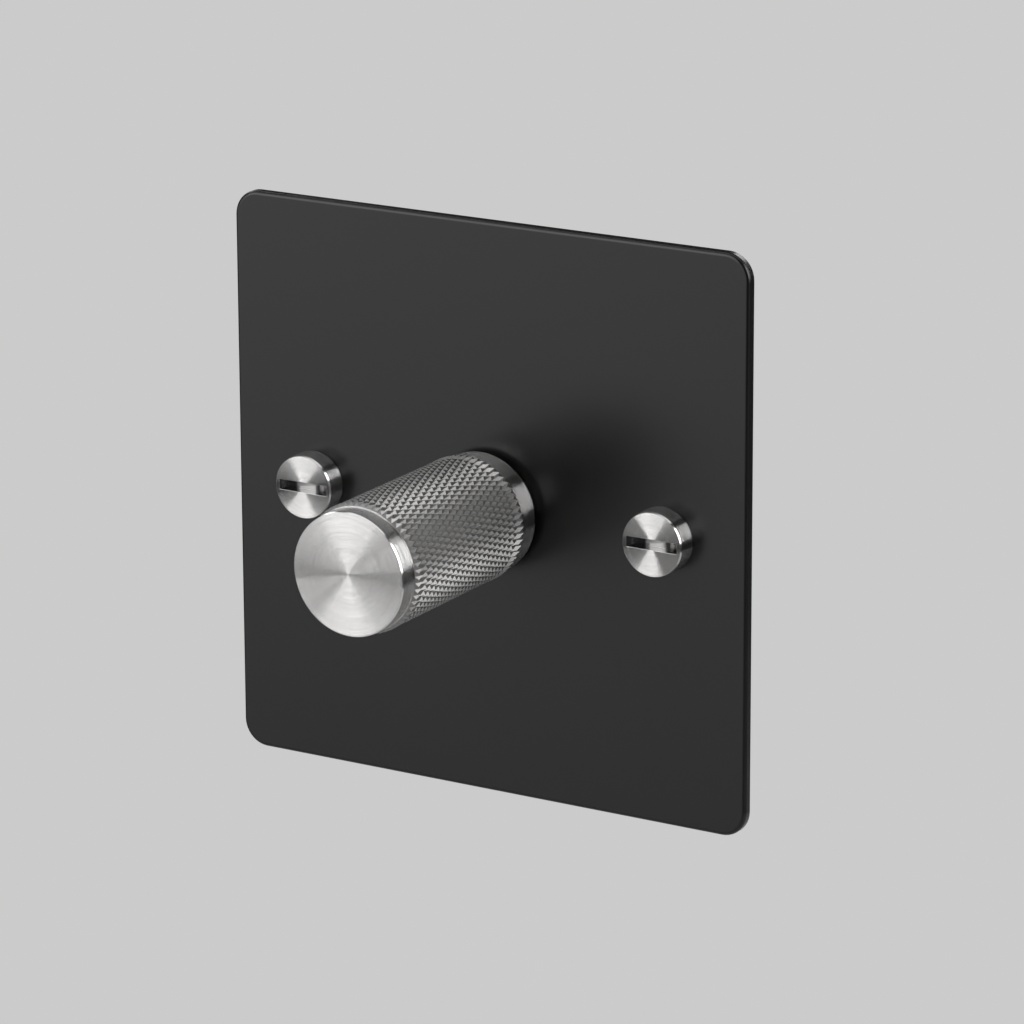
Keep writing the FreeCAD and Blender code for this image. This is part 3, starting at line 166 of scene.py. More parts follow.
class Wire:
    # a socket of one material's tree; operators on it add Math or Vector Math nodes
    def __init__(self, tree, socket=None):
        self.tree = tree
        self.socket = socket

    def node(self, kind, settings=None, inputs=None, out=0):
        made = self.tree.nodes.new(kind)
        for name, value in (settings or {}).items():
            if name == "stops":
                stops = made.color_ramp.elements
                while len(stops) < len(value):
                    stops.new(1.0)
                for stop, (place, tone) in zip(stops, value):
                    stop.position = place
                    stop.color = (*tone, 1)
            else:
                setattr(made, name, value)
        for key, value in (inputs or {}).items():
            if isinstance(value, Wire):
                self.tree.links.new(value.socket, made.inputs[key])
            else:
                made.inputs[key].default_value = value
        return Wire(self.tree, made.outputs[out] if len(made.outputs) else None)

    def also(self, out):
        return Wire(self.tree, self.socket.node.outputs[out])

    def vector(self, operation, other=(0, 0, 0), out=0):
        return self.node("ShaderNodeVectorMath", {"operation": operation},
                         {0: self, 1: other}, out=out)

    def sums(self, operation, first, second):
        vectors = [side.socket.type != "VALUE" for side in (first, second)
                   if isinstance(side, Wire)]
        if any(vectors):
            # a vector times a number is a node of its own
            if operation == "MULTIPLY" and not all(vectors + [isinstance(second, Wire)]):
                return self.node("ShaderNodeVectorMath", {"operation": "SCALE"},
                                 {0: first, "Scale": second})
            return self.node("ShaderNodeVectorMath", {"operation": operation},
                             {0: first, 1: second})
        return self.node("ShaderNodeMath", {"operation": operation}, {0: first, 1: second})

    def __add__(self, other):
        return self.sums("ADD", self, other)

    def __radd__(self, other):
        return self.sums("ADD", other, self)

    def __sub__(self, other):
        return self.sums("SUBTRACT", self, other)

    def __rsub__(self, other):
        return self.sums("SUBTRACT", other, self)

    def __mul__(self, other):
        return self.sums("MULTIPLY", self, other)

    __rmul__ = __mul__

    def __truediv__(self, other):
        return self.sums("DIVIDE", self, other)

    def __pow__(self, other):
        return self.sums("POWER", self, other)

    def __gt__(self, other):
        return self.sums("GREATER_THAN", self, other)

    def __lt__(self, other):
        return self.sums("LESS_THAN", self, other)

    def done(self, operation, other=0.0):
        return self.sums(operation, self, other)

    def blend(self, low, high):
        # self is the share of high over low, both colours
        return self.node("ShaderNodeMix", {"data_type": "RGBA"}, {0: self, 6: low, 7: high},
                         out=2)


def shade(grey, warm=0.0):
    return (grey * (1 + warm), grey, grey * (1 - warm), 1)


def shadesRound(grey, change, warm=0.0):
    return shade(grey * (1 - change), warm), shade(grey * (1 + change), warm)


def scaled(colour, share=1.0):
    return (*(channel * share for channel in colour), 1)


def newFinish(name):
    material = bpy.data.materials.new(name)
    material.use_nodes = True
    material.node_tree.nodes.clear()
    return material, Wire(material.node_tree)


def closeFinish(start, constants, links):
    # one Principled shader: constants on its own sockets, links where something varies
    shader = start.node("ShaderNodeBsdfPrincipled", None, {**constants, **links})
    start.node("ShaderNodeOutputMaterial", None, {"Surface": shader})


def placeOf(start):
    return start.node("ShaderNodeTexCoord", out="Object")


def partsOf(vector):
    split = vector.node("ShaderNodeSeparateXYZ", None, {0: vector})
    return split, split.also(1), split.also(2)


def speckle(place, scale, detail=2.0, roughness=0.5):
    return place.node("ShaderNodeTexNoise", None,
                      {"Vector": place, "Scale": scale, "Detail": detail,
                       "Roughness": roughness})


def bumpOf(height, strength, distance, normal=None):
    inputs = {"Height": height, "Strength": strength, "Distance": distance}
    if normal is not None:
        inputs["Normal"] = normal
    return height.node("ShaderNodeBump", None, inputs)


def ramp(value, stops):
    return value.node("ShaderNodeValToRGB", {"stops": stops}, {0: value})


def level(value, stops):
    # a number that follows the value through (place, number) pairs
    return partsOf(ramp(value, [(place, (height,) * 3) for place, height in stops]))[0]


def worldNormal(vector):
    # a direction in the piece's own space as the unit normal that a shader takes
    world = vector.node("ShaderNodeVectorTransform",
                        {"vector_type": "VECTOR", "convert_from": "OBJECT",
                         "convert_to": "WORLD"}, {0: vector})
    return world.vector("NORMALIZE")


# Slopes are the steepness of the lathe's grooves on sides, bevels and end faces. Which
# of these a place lies on is told by its normal's share along the axis, from 0 to 1.
turning = {"grey": 0.695, "warmth": 0.012, "roughness": 0.16,
           "sideSlope": 0.36, "bevelSlope": 0.02, "faceSlope": 0.50,
           "sideEnd": 0.26, "bevelStart": 0.32, "bevelEnd": 0.95, "faceStart": 0.98,
           "veeShare": 0.0, "veeSlope": 0.42, "spreadLimit": 1.02,
           "groovePitch": 0.001 * mm, "sideRate": 1.7, "ringPitch": 0.10 * mm,
           "ringDepth": 0.03, "ringShade": 0.02, "ringRoughness": 0.04}


def turnedFinish(name, centre, values):
    # Lathe marks run round the piece's own axis. Each fine groove tips the surface
    # towards or away from the axis by a chance slope, so the light draws out into fans.
    material, start = newFinish(name)
    place = placeOf(start)
    facing = start.node("ShaderNodeTexCoord", out="Normal")
    middle = start.node("ShaderNodeCombineXYZ", None, {"X": centre[0], "Z": centre[1]})
    flat = (place - middle).vector("MULTIPLY", (1, 0, 1))
    # runs outwards over an end face and then on along the side
    along = flat.vector("LENGTH", out=1) + partsOf(place)[1] * values["sideRate"]
    groove = start.node("ShaderNodeTexWhiteNoise", {"noise_dimensions": "1D"},
                        {"W": (along / values["groovePitch"]).done("FLOOR")})
    chance = groove * 2 - 1
    spread = chance / (values["spreadLimit"] - chance * chance) ** 0.5
    vee = values["veeShare"]  # of grooves that are plain vees, all of one slope
    slope = spread * (1 - vee) + chance.done("SIGN") * (vee * values["veeSlope"])
    rings = start.node("ShaderNodeTexNoise", {"noise_dimensions": "1D"},
                       {"W": along / values["ringPitch"], "Scale": 1.0, "Detail": 3.0,
                        "Roughness": 0.7})
    side, bevel, face = values["sideSlope"], values["bevelSlope"], values["faceSlope"]
    steep = level(partsOf(facing)[1].done("ABSOLUTE"),
                  [(0.0, side), (values["sideEnd"], side), (values["bevelStart"], bevel),
                   (values["bevelEnd"], bevel), (values["faceStart"], face)])
    lean = slope * steep * (1 + (rings - 0.5) * values["ringDepth"])
    tangent = flat.vector("CROSS_PRODUCT", (0, 1, 0)).vector("NORMALIZE")
    inward = facing.vector("CROSS_PRODUCT", tangent)
    normal = worldNormal(facing + inward * lean)
    colour = rings.blend(*shadesRound(values["grey"], values["ringShade"],
                                      values["warmth"]))
    rough = values["roughness"] + (rings - 0.5) * values["ringRoughness"]
    closeFinish(start, {"Metallic": 1.0},
                {"Base Color": colour, "Roughness": rough, "Normal": normal})
    return material


# the lean is full up to a normal's share along the axis of leanFull, and ends at leanEnd
# the knurl's grey is far below the turned steel of the same knob: painted shade over the
# knurl, on its rougher rolled surface
knurling = {"grey": 0.305, "warmth": 0.012, "roughness": 0.46,
            "toothLean": 1.9, "leanFull": 0.38, "leanEnd": 0.5,
            "grainScale": 9000, "grainShade": 0.9, "grainRoughness": 0.12,
            "grainStrength": 0.35, "grainDepth": 0.02 * mm}


def knurledFinish(name, values):
    # a rolled tooth is hollow along the axis, so its flanks stand steeper than the mesh's
    material, start = newFinish(name)
    grain = speckle(placeOf(start), values["grainScale"], 3.0)
    x, y, z = partsOf(start.node("ShaderNodeTexCoord", out="Normal"))
    lean = values["toothLean"]
    steeper = y * level(y.done("ABSOLUTE"), [(0.0, lean), (values["leanFull"], lean),
                                             (values["leanEnd"], 1.0)])
    flank = worldNormal(start.node("ShaderNodeCombineXYZ", None,
                                   {"X": x, "Y": steeper, "Z": z}))
    grey, warmth = values["grey"], values["warmth"]
    colour = grain.blend(shade(grey * values["grainShade"], warmth), shade(grey, warmth))
    rough = values["roughness"] + grain * values["grainRoughness"]
    bump = bumpOf(grain, values["grainStrength"], values["grainDepth"], flank)
    closeFinish(start, {"Metallic": 1.0},
                {"Base Color": colour, "Roughness": rough, "Normal": bump})
    return material


turnedKnob = turnedFinish("turnedKnob", (0, 0), turning)
knurledSteelPaintedShade = knurledFinish("knurledSteelPaintedShade", knurling)


knobLow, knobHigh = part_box("knob")
# Radii, and stations along Y from the plate's back, are in millimetres, the angle is in
# degrees, and endRun is a share of the knurl's depth.
knobSizes = {"face": knobLow.y / mm, "base": knobHigh.y / mm, "crest": knobHigh.x / mm,
             "knurlDepth": 0.42, "diamonds": 61, "rows": 21, "endRun": 0.8,
             "tipBlunt": 0.04, "sharpRun": 1.0, "smoothAngle": 20, "land": 0.03,
             "ring": 9.25, "ringWidth": 2.7, "ringChamfer": 0.18,
             "relief": 8.93, "reliefWidth": 0.4,
             "collar": 9.28, "collarWidth": 4.0, "collarChamfer": 0.3,
             "skirt": 7.678, "skirtChamfer": 0.15, "floor": -8.9,
             "bore": 5.0, "boreEnd": -25.9}


def knobProfile(sizes):
    # (radius, station) corners before and behind the knurl, and the stations of its rows
    face, base = sizes["face"], sizes["base"]
    root = sizes["crest"] - sizes["knurlDepth"]
    ring, chamfer = sizes["ring"], sizes["ringChamfer"]
    collar, edge = sizes["collar"], sizes["collarChamfer"]
    skirt, ease = sizes["skirt"], sizes["skirtChamfer"]
    ringBack = face + sizes["ringWidth"]
    bandFront = ringBack + sizes["reliefWidth"]
    bandBack = base - sizes["collarWidth"]
    # a small land slopes up to the knurl's root at each end, at 45 degrees
    noseTop = root - sizes["land"]
    collarTop = collar + sizes["land"]
    start = bandFront + root - noseTop
    finish = bandBack - root + collarTop
    rows = sizes["rows"]
    stations = [start + (finish - start) * row / rows for row in range(rows + 1)]
    nose = bevelledRim(ring, face, chamfer) + [
        (ring, ringBack - chamfer / 2), (ring - chamfer / 2, ringBack),
        (sizes["relief"], ringBack), (sizes["relief"], bandFront), (noseTop, bandFront)]
    sleeve = [(collarTop, bandBack), (collar, bandBack), (collar, base - edge),
              (collar - edge, base), (skirt + ease, base), (skirt, base - ease),
              (skirt, sizes["floor"]), (sizes["bore"], sizes["floor"]),
              (sizes["bore"], sizes["boreEnd"])]
    return nose, stations, sleeve


def raiseTips(piece, sizes, root, stations):
    # tips alternate with groove crossings round each row and from row to row
    def isTip(vertex):
        row = min(range(len(stations)), key=lambda r: abs(vertex.co.y - stations[r] * mm))
        if (abs(fromAxis(vertex.co) - root * mm) > near
                or abs(vertex.co.y - stations[row] * mm) > near):
            return False
        angle = math.atan2(vertex.co.z, vertex.co.x)
        step = round(angle / math.pi * sizes["diamonds"] + 0.5)
        return (step + row) % 2 == 0

    grow = sizes["crest"] / root
    pick(piece, "VERT", isTip)
    bpy.ops.transform.resize(value=(grow, 1, grow), center_override=(0, 0, 0))


def knurledKnob(sizes):
    root = sizes["crest"] - sizes["knurlDepth"]
    nose, stations, sleeve = knobProfile(sizes)
    corners = nose + [(root, station) for station in stations] + sleeve
    corners = [(radius * mm, station * mm) for radius, station in corners]
    piece = ringStart("knurled_knob", corners[0][0], corners[0][1], 2 * sizes["diamonds"])
    turnAlong(corners)
    closeEnds(piece, [corners[0][1], corners[-1][1]])
    raiseTips(piece, sizes, root, stations)

    def isRaised(vertex, first, last):
        return (abs(fromAxis(vertex.co) - sizes["crest"] * mm) < near
                and first * mm - near < vertex.co.y < last * mm + near)

    # the tips of the end rows lean in
    run = sizes["knurlDepth"] * sizes["endRun"]
    for station, shift in ((stations[0], run), (stations[-1], -run)):
        pick(piece, "VERT", lambda v: isRaised(v, station, station))
        bpy.ops.transform.translate(value=(0, shift * mm, 0))
    (innermost, front), back = nose[-1], sleeve[0][1]

    def isKnurled(points, middle):
        return (front * mm - near < middle.y < back * mm + near
                and min(fromAxis(point) for point in points) > innermost * mm - near)

    pick(piece, "FACE", lambda f: len(f.verts) == 4
         and isKnurled([v.co for v in f.verts], middleOf(f)))
    bpy.ops.mesh.quads_convert_to_tris(quad_method="SHORTEST_DIAGONAL",
                                       ngon_method="BEAUTY")
    # the tips between the end rows are blunted
    pick(piece, "VERT", lambda v: isRaised(v, stations[0] + sizes["sharpRun"],
                                           stations[-1] - sizes["sharpRun"]))
    bpy.ops.mesh.bevel(offset=sizes["tipBlunt"] * mm, offset_type="OFFSET", segments=1,
                       affect="VERTICES")
    finishMesh(piece, sizes["smoothAngle"])
    piece.data.materials.append(turnedKnob)
    # the knurled faces take the darker steel, painted shade
    piece.data.materials.append(knurledSteelPaintedShade)
    for part in piece.data.polygons:
        points = [piece.data.vertices[v].co for v in part.vertices]
        if isKnurled(points, part.center):
            part.material_index = 1
    return piece


knob = knurledKnob(knobSizes)
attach(knob, "knob")
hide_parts("knob")
print("knob made:", len(knob.data.polygons), "faces")


# scales are in grains per metre
plating = {"cloudScale": 260, "cloudRoughness": 0.14,
           "markScale": 5200, "markStrength": 0.25, "markDepth": 0.015 * mm}


def platedFinish(name, grey, tint, roughness, patch):
    # thin plating: a slightly clouded colour and soft tumbling marks
    material, start = newFinish(name)
    place = placeOf(start)
    cloud = speckle(place, plating["cloudScale"], 4.0, 0.6)
    marks = speckle(place, plating["markScale"])
    colour = cloud.blend(scaled(tint, grey * (1 - patch)), scaled(tint, grey))
    rough = roughness + (cloud - 0.5) * plating["cloudRoughness"]
    bump = bumpOf(marks, plating["markStrength"], plating["markDepth"])
    closeFinish(start, {"Metallic": 1.0},
                {"Base Color": colour, "Roughness": rough, "Normal": bump})
    return material


zincPlated = platedFinish("zincPlated", 0.62, (0.97, 1.0, 1.04), 0.30, 0.14)
nickelPlated = platedFinish("nickelPlated", 0.66, (1.05, 1.0, 0.92), 0.22, 0.10)
bareBrass = platedFinish("bareBrass", 0.62, (1.30, 0.98, 0.50), 0.30, 0.16)
# the slot's metal is a darker grey than the head's: painted shade in the slot, on a
# smoother milled finish
milledSlotPaintedShade = platedFinish("milledSlotPaintedShade", 0.34, (1.01, 1.0, 0.99), 0.10, 0.05)
canAluminium = platedFinish("canAluminium", 0.74, (0.99, 1.0, 1.02), 0.28, 0.06)


screwLow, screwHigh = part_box("coin_screw_left")
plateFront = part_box("front_plate")[0]
# millimetres and degrees, with stations as on the knob; threadCrest is in shares of pitch
screwSizes = {"head": (screwHigh.x - screwLow.x) / 2 / mm, "face": screwLow.y / mm,
              "seat": plateFront.y / mm, "end": screwHigh.y / mm,
              "chamfer": 0.25, "seatChamfer": 0.12,
              "slotWidth": 1.6, "slotDepth": 1.8, "slotLength": 8.4, "slotEdge": 0.035,
              "edgeAngle": 30, "turnedAngle": 25, "slottedAngle": 10,
              "neck": 1.5, "neckEnd": -0.7, "shank": 1.75, "shankAngle": 35,
              "threadPitch": 0.6, "threadDepth": 0.33, "threadCrest": (0.44, 0.56),
              "tipChamfer": 0.6, "headSides": 128, "cutterSides": 160, "shankSides": 32}
screwTurning = {**turning, "faceSlope": 1.0, "sideSlope": 0.8, "veeShare": 0.8,
                "grey": 0.52}


def slottedHead(name, centre, sizes):
    seat = sizes["seat"]
    ease = sizes["seatChamfer"]
    corners = bevelledRim(sizes["head"], sizes["face"], sizes["chamfer"]) + [
        (sizes["head"], seat - ease), (sizes["head"] - ease, seat),
        (sizes["neck"], seat), (sizes["neck"], sizes["neckEnd"])]
    corners = [(radius * mm, station * mm) for radius, station in corners]
    head = ringStart(name, corners[0][0], corners[0][1], sizes["headSides"], centre)
    turnAlong(corners, centre)
    closeEnds(head, [corners[0][1], corners[-1][1]])
    finishMesh(head, sizes["turnedAngle"])
    # the slot is left by a disc cutter that never reaches the rim
    deep = sizes["slotDepth"]
    cutter = (sizes["slotLength"] ** 2 / 4 + deep ** 2) / (2 * deep)
    clearSelection()
    bpy.ops.mesh.primitive_cylinder_add(
        vertices=sizes["cutterSides"], radius=cutter * mm, depth=sizes["slotWidth"] * mm,
        location=(centre[0], (sizes["face"] + deep - cutter) * mm, centre[1]))
    disc = named(name + "_cutter")
    bpy.ops.object.transform_apply(location=True, rotation=True, scale=True)
    cut = head.modifiers.new("slot", "BOOLEAN")
    cut.operation = "DIFFERENCE"
    cut.solver = "EXACT"
    cut.object = disc
    applyAll(head)
    bpy.data.objects.remove(disc)
    soften = head.modifiers.new("soften", "BEVEL")
    soften.width = sizes["slotEdge"] * mm
    soften.segments = 2
    soften.limit_method = "ANGLE"
    soften.angle_limit = math.radians(sizes["edgeAngle"])
    applyAll(head)
    bpy.ops.object.shade_smooth_by_angle(angle=math.radians(sizes["slottedAngle"]))
    return head


def threadedShank(name, centre, sizes):
    # one zigzag of the thread's profile, wound round the screw's axis and cut to length
    pitch = sizes["threadPitch"]
    crest = sizes["shank"]
    root = crest - sizes["threadDepth"]
    first = sizes["neckEnd"]
    turns = math.ceil((sizes["end"] - first) / pitch) + 2  # two to spare, cut off again
    clearSelection()
    bpy.ops.mesh.primitive_plane_add(size=1)
    shank = named(name)
    bpy.ops.object.mode_set(mode="EDIT")
    bpy.ops.mesh.delete(type="ONLY_FACE")
    shell = bmesh.from_edit_mesh(shank.data)
    rise, fall = (pitch * share for share in sizes["threadCrest"])
    corners = [(root, 0.0), (crest, rise), (crest, fall), (root, pitch)]
    for vertex, (radius, station) in zip(shell.verts, corners):
        vertex.co = (radius * mm, (first - pitch + station) * mm, 0)
    shell.verts.ensure_lookup_table()
    for edge in list(shell.edges):
        shell.edges.remove(edge)
    for left, right in zip(shell.verts[:], shell.verts[1:]):
        shell.edges.new((left, right))
    bmesh.update_edit_mesh(shank.data)
    bpy.ops.object.mode_set(mode="OBJECT")
    wind = shank.modifiers.new("wind", "SCREW")
    wind.axis = "Y"
    wind.screw_offset = pitch * mm
    wind.iterations = turns
    wind.steps = sizes["shankSides"]
    wind.render_steps = sizes["shankSides"]
    wind.use_merge_vertices = True
    wind.merge_threshold = near
    applyAll(shank)
    bpy.ops.object.mode_set(mode="EDIT")
    bpy.ops.mesh.select_all(action="SELECT")
    bpy.ops.mesh.remove_doubles(threshold=near)
    for station, outer in ((first, False), (sizes["end"], True)):
        bpy.ops.mesh.select_all(action="SELECT")
        bpy.ops.mesh.bisect(plane_co=(0, station * mm, 0), plane_no=(0, 1, 0),
                            use_fill=True, clear_outer=outer, clear_inner=not outer,
                            threshold=near / 10)
    # whatever lies outside the tip's chamfer is drawn in to it
    tip = sizes["end"] * mm
    blunt = sizes["tipChamfer"] * mm
    shell = bmesh.from_edit_mesh(shank.data)
    for vertex in shell.verts:
        over = fromAxis(vertex.co) - (crest * mm - blunt)
        room = tip - vertex.co.y
        if over > room:
            shrink = 1 - (over - room) / fromAxis(vertex.co)
            vertex.co.x *= shrink
            vertex.co.z *= shrink
    bmesh.update_edit_mesh(shank.data)
    bpy.ops.mesh.select_all(action="SELECT")
    bpy.ops.transform.translate(value=(centre[0], 0, centre[1]))
    finishMesh(shank, sizes["shankAngle"])
    return shank


def isInSlot(middle, centre, sizes):
    # between the slot's walls, behind the face, before the floor and off the rim
    slack, skin, rim = 0.01, 0.03, 0.1  # millimetres
    behind = middle.y / mm - sizes["face"]
    return (abs(middle.z) / mm < sizes["slotWidth"] / 2 + slack
            and skin < behind < sizes["slotDepth"] + slack
            and fromAxis(middle, centre) / mm < sizes["head"] - rim)


for label in ("left", "right"):
    low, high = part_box("coin_screw_" + label)
    centre = ((low.x + high.x) / 2, (low.z + high.z) / 2)
    head = slottedHead("slotted_screw_" + label, centre, screwSizes)
    shank = threadedShank("thread_" + label, centre, screwSizes)
    head.data.materials.append(turnedFinish("turnedScrew_" + label, centre, screwTurning))
    # faces inside the slot take its darker grey, painted shade in the recess
    head.data.materials.append(milledSlotPaintedShade)
    for part in head.data.polygons:
        if isInSlot(part.center, centre, screwSizes):
            part.material_index = 1
    shank.data.materials.append(zincPlated)
    joinInto(head, shank)
    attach(head, "root")
    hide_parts("coin_screw_" + label)
print("screws made")


def squeezedCoil(name, node, angle=50):
    # the coil joined up and smooth
    piece = bpy.data.objects.new(name, node.data.copy())
    piece.data.name = name
    bpy.context.scene.collection.objects.link(piece)
    selectOnly(piece)
    bpy.ops.object.mode_set(mode="EDIT")
    finishMesh(piece, angle)
    piece.data.materials.clear()
    piece.data.materials.append(zincPlated)
    return piece


coil = squeezedCoil("switch_spring", nodes["return_spring"])
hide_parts("return_spring")
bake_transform(coil)
print("spring made:", len(coil.data.polygons), "faces")


def coatedPlate(values):
    # satin black coat on steel: almost no body colour, a soft even gloss, very fine texture
    material, start = newFinish("satinBlack")
    place = placeOf(start)
    fine = speckle(place, values["grainScale"], 3.0, 0.55)
    broad = speckle(place, values["broadScale"], 3.0)
    colour = broad.blend(*shadesRound(values["grey"], values["broadShade"]))
    rough = (values["roughness"] + (fine - 0.5) * values["grainRoughness"]
             + (broad - 0.5) * values["broadRoughness"])
    bump = bumpOf(fine, values["grainStrength"], values["grainDepth"])
    closeFinish(start, {}, {"Base Color": colour, "Roughness": rough, "Normal": bump})
    return material


moulding = {"textureScale": 3600, "textureDepth": 0.02 * mm,
            "flowScale": 70, "flowShade": 0.88, "flowRoughness": 0.12}


def mouldedPlastic(name, colour, roughness, texture):
    # injection moulding: fine spark-eroded texture and slightly uneven gloss
    material, start = newFinish(name)
    place = placeOf(start)
    fine = speckle(place, moulding["textureScale"], 3.0, 0.6)
    flow = speckle(place, moulding["flowScale"], 3.0)
    tint = flow.blend(scaled(colour, moulding["flowShade"]), scaled(colour))
    bump = bumpOf(fine, texture, moulding["textureDepth"])
    rough = roughness + (flow - 0.5) * moulding["flowRoughness"]
    closeFinish(start, {}, {"Base Color": tint, "Roughness": rough, "Normal": bump})
    return material


rolling = {"grey": 0.74, "darkest": 0.82, "lightest": 1.04, "roughness": 0.26,
           "stretch": (40, 2600, 2600), "lineShare": 0.6, "lineRoughness": 0.12,
           "lineStrength": 0.25, "lineDepth": 0.012 * mm, "cloudScale": 120}


def rolledAluminium(values):
    # rolling marks run along X, over a faintly clouded sheet
    material, start = newFinish("rolledAluminium")
    place = placeOf(start)
    stretched = start.node("ShaderNodeMapping", None,
                           {"Vector": place, "Scale": values["stretch"]})
    lines = speckle(stretched, 1.0, 4.0, 0.65)
    cloud = speckle(place, values["cloudScale"], 3.0)
    streaks = lines * values["lineShare"] + cloud * (1 - values["lineShare"])
    colour = streaks.blend(shade(values["grey"] * values["darkest"]),
                           shade(values["grey"] * values["lightest"]))
    rough = values["roughness"] + lines * values["lineRoughness"]
    bump = bumpOf(lines, values["lineStrength"], values["lineDepth"])
    closeFinish(start, {"Metallic": 1.0},
                {"Base Color": colour, "Roughness": rough, "Normal": bump})
    return material


# tracks lie on a grid, along or across in patches of a few grid squares
board = {"weave": 0.35 * mm, "grid": 1.27 * mm, "trackShare": 0.34, "patch": 4,
         "darkMask": (0.006, 0.075, 0.030), "paleMask": (0.012, 0.120, 0.050),
         "maskShade": 0.35, "weaveShade": 0.08, "weaveRelief": 0.1,
         "trackGreen": (0.030, 0.200, 0.080), "trackStrength": 0.8, "trackGloss": 0.08,
         "relief": 0.03 * mm, "roughness": 0.42, "coat": 0.4, "coatRoughness": 0.1}


def boardLaminate(values):
    # glass-cloth weave under green mask, with slightly lighter copper tracks beneath it
    material, start = newFinish("boardLaminate")
    across, _, up = partsOf(placeOf(start))
    waves = 2 * math.pi / values["weave"]
    weave = (across * waves).done("SINE") * (up * waves).done("SINE")
    grid = values["grid"]
    patch = grid * values["patch"]
    lineAcross = (across / grid).done("FRACT") < values["trackShare"]
    lineUp = (up / grid).done("FRACT") < values["trackShare"]
    square = start.node("ShaderNodeCombineXYZ", None,
                        {"X": (across / patch).done("FLOOR"),
                         "Y": (up / patch).done("FLOOR")})
    turned = start.node("ShaderNodeTexWhiteNoise", {"noise_dimensions": "2D"},
                        {"Vector": square}) > 0.5
    track = lineAcross * turned + lineUp * (1 - turned)
    mask = (values["maskShade"] + weave * values["weaveShade"]).blend(
        scaled(values["darkMask"]), scaled(values["paleMask"]))
    colour = (track * values["trackStrength"]).blend(mask, scaled(values["trackGreen"]))
    rough = values["roughness"] - track * values["trackGloss"]
    bump = bumpOf(track + weave * values["weaveRelief"], 0.5, values["relief"])
    closeFinish(start, {"Coat Weight": values["coat"],
                        "Coat Roughness": values["coatRoughness"]},
                {"Base Color": colour, "Roughness": rough, "Normal": bump})
    return material


# The metal of a package is its tab, leads, pins or end caps, whose sizes come first and
# are in millimetres.
splitLook = {"tabThickness": 1.33, "leadsHalf": 1.585, "pinReach": 1.04, "capLength": 1.8,
             "resinShade": 0.85, "metalShade": 0.92, "grainScale": 4200,
             "grainStrength": 0.3, "grainDepth": 0.01 * mm, "grainRoughness": 0.1}


def splitFinish(name, chooser, resin, metal):
    # one piece in two materials: chooser gives the share of metal from the place on it
    material, start = newFinish(name)
    place = placeOf(start)
    share = chooser(place)
    grain = speckle(place, splitLook["grainScale"])
    dark = grain.blend(scaled(resin["colour"], splitLook["resinShade"]),
                       scaled(resin["colour"]))
    light = grain.blend(scaled(metal["colour"], splitLook["metalShade"]),
                        scaled(metal["colour"]))
    colour = share.blend(dark, light)
    rough = (share * (metal["roughness"] - resin["roughness"]) + resin["roughness"]
             + (grain - 0.5) * splitLook["grainRoughness"])
    bump = bumpOf(grain, splitLook["grainStrength"], splitLook["grainDepth"])
    closeFinish(start, {}, {"Base Color": colour, "Roughness": rough,
                            "Metallic": share, "Normal": bump})
    return material


def packageMetal(place):
    # the tab lies nearest the heat plate and the leads leave at the middle of the module
    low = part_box("power_transistors")[0]
    _, depth, up = partsOf(place)
    tab = depth < low.y + splitLook["tabThickness"] * mm
    leads = up.done("ABSOLUTE") < splitLook["leadsHalf"] * mm
    return (tab + leads).done("MINIMUM", 1.0)


def chipMetal(place):
    low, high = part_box("control_chip")
    away = (partsOf(place)[2] - (low.z + high.z) / 2).done("ABSOLUTE")
    return away > (high.z - low.z) / 2 - splitLook["pinReach"] * mm


def fuseMetal(place):
    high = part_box("fuse")[1]
    return partsOf(place)[0].done("ABSOLUTE") > high.x - splitLook["capLength"] * mm


# shares of the length: the plated caps, and where each band begins
resistor = {"capShare": 0.07, "bandShare": 0.06, "roughness": 0.45, "capGloss": 0.15,
            "body": (0.42, 0.30, 0.17), "cap": (0.62, 0.62, 0.64),
            "bands": [(0.22, (0.10, 0.02, 0.01)), (0.36, (0.30, 0.10, 0.01)),
                      (0.50, (0.02, 0.02, 0.02)), (0.72, (0.42, 0.28, 0.05))]}


def bandedResistor(values):
    # tan body with plain colour bands and plated end caps
    material, start = newFinish("bandedResistor")
    low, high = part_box("resistors")
    share = (partsOf(placeOf(start))[0] - low.x) / (high.x - low.x)
    stops = [(0.0, values["cap"]), (values["capShare"], values["body"])]
    for place, colour in values["bands"]:
        stops += [(place, colour), (place + values["bandShare"], values["body"])]
    stops.append((1 - values["capShare"], values["cap"]))
    bands = ramp(share, stops)
    bands.socket.node.color_ramp.interpolation = "CONSTANT"
    metal = (share - 0.5).done("ABSOLUTE") > 0.5 - values["capShare"]
    rough = values["roughness"] - metal * values["capGloss"]
    closeFinish(start, {}, {"Base Color": bands, "Roughness": rough, "Metallic": metal})
    return material


winding = {"pitch": 0.45 * mm, "relief": 0.16 * mm, "layShadeShare": 0.7, "toneScale": 500,
           "dark": (0.16, 0.030, 0.008), "bright": (0.62, 0.21, 0.075),
           "metallic": 0.85, "roughness": 0.36, "layGloss": 0.1,
           "coat": 0.5, "coatRoughness": 0.12}


def woundCopper(values):
    # enamelled wire laid in turns round the drum, with painted shade and highlight across
    # each turn
    material, start = newFinish("woundCopper")
    place = placeOf(start)
    turn = partsOf(place)[1] / values["pitch"]
    lay = (turn * (2 * math.pi)).done("SINE") * 0.5 + 0.5
    mottle = speckle(place, values["toneScale"])
    # painted shade between the turns and painted highlight on their crowns, mixed with
    # random mottle
    tone = lay * values["layShadeShare"] + mottle * (1 - values["layShadeShare"])
    colour = tone.blend(scaled(values["dark"]), scaled(values["bright"]))
    rough = values["roughness"] - lay * values["layGloss"]
    bump = bumpOf(lay, 1.0, values["relief"])
    closeFinish(start, {"Metallic": values["metallic"], "Coat Weight": values["coat"],
                        "Coat Roughness": values["coatRoughness"]},
                {"Base Color": colour, "Roughness": rough, "Normal": bump})
    return material


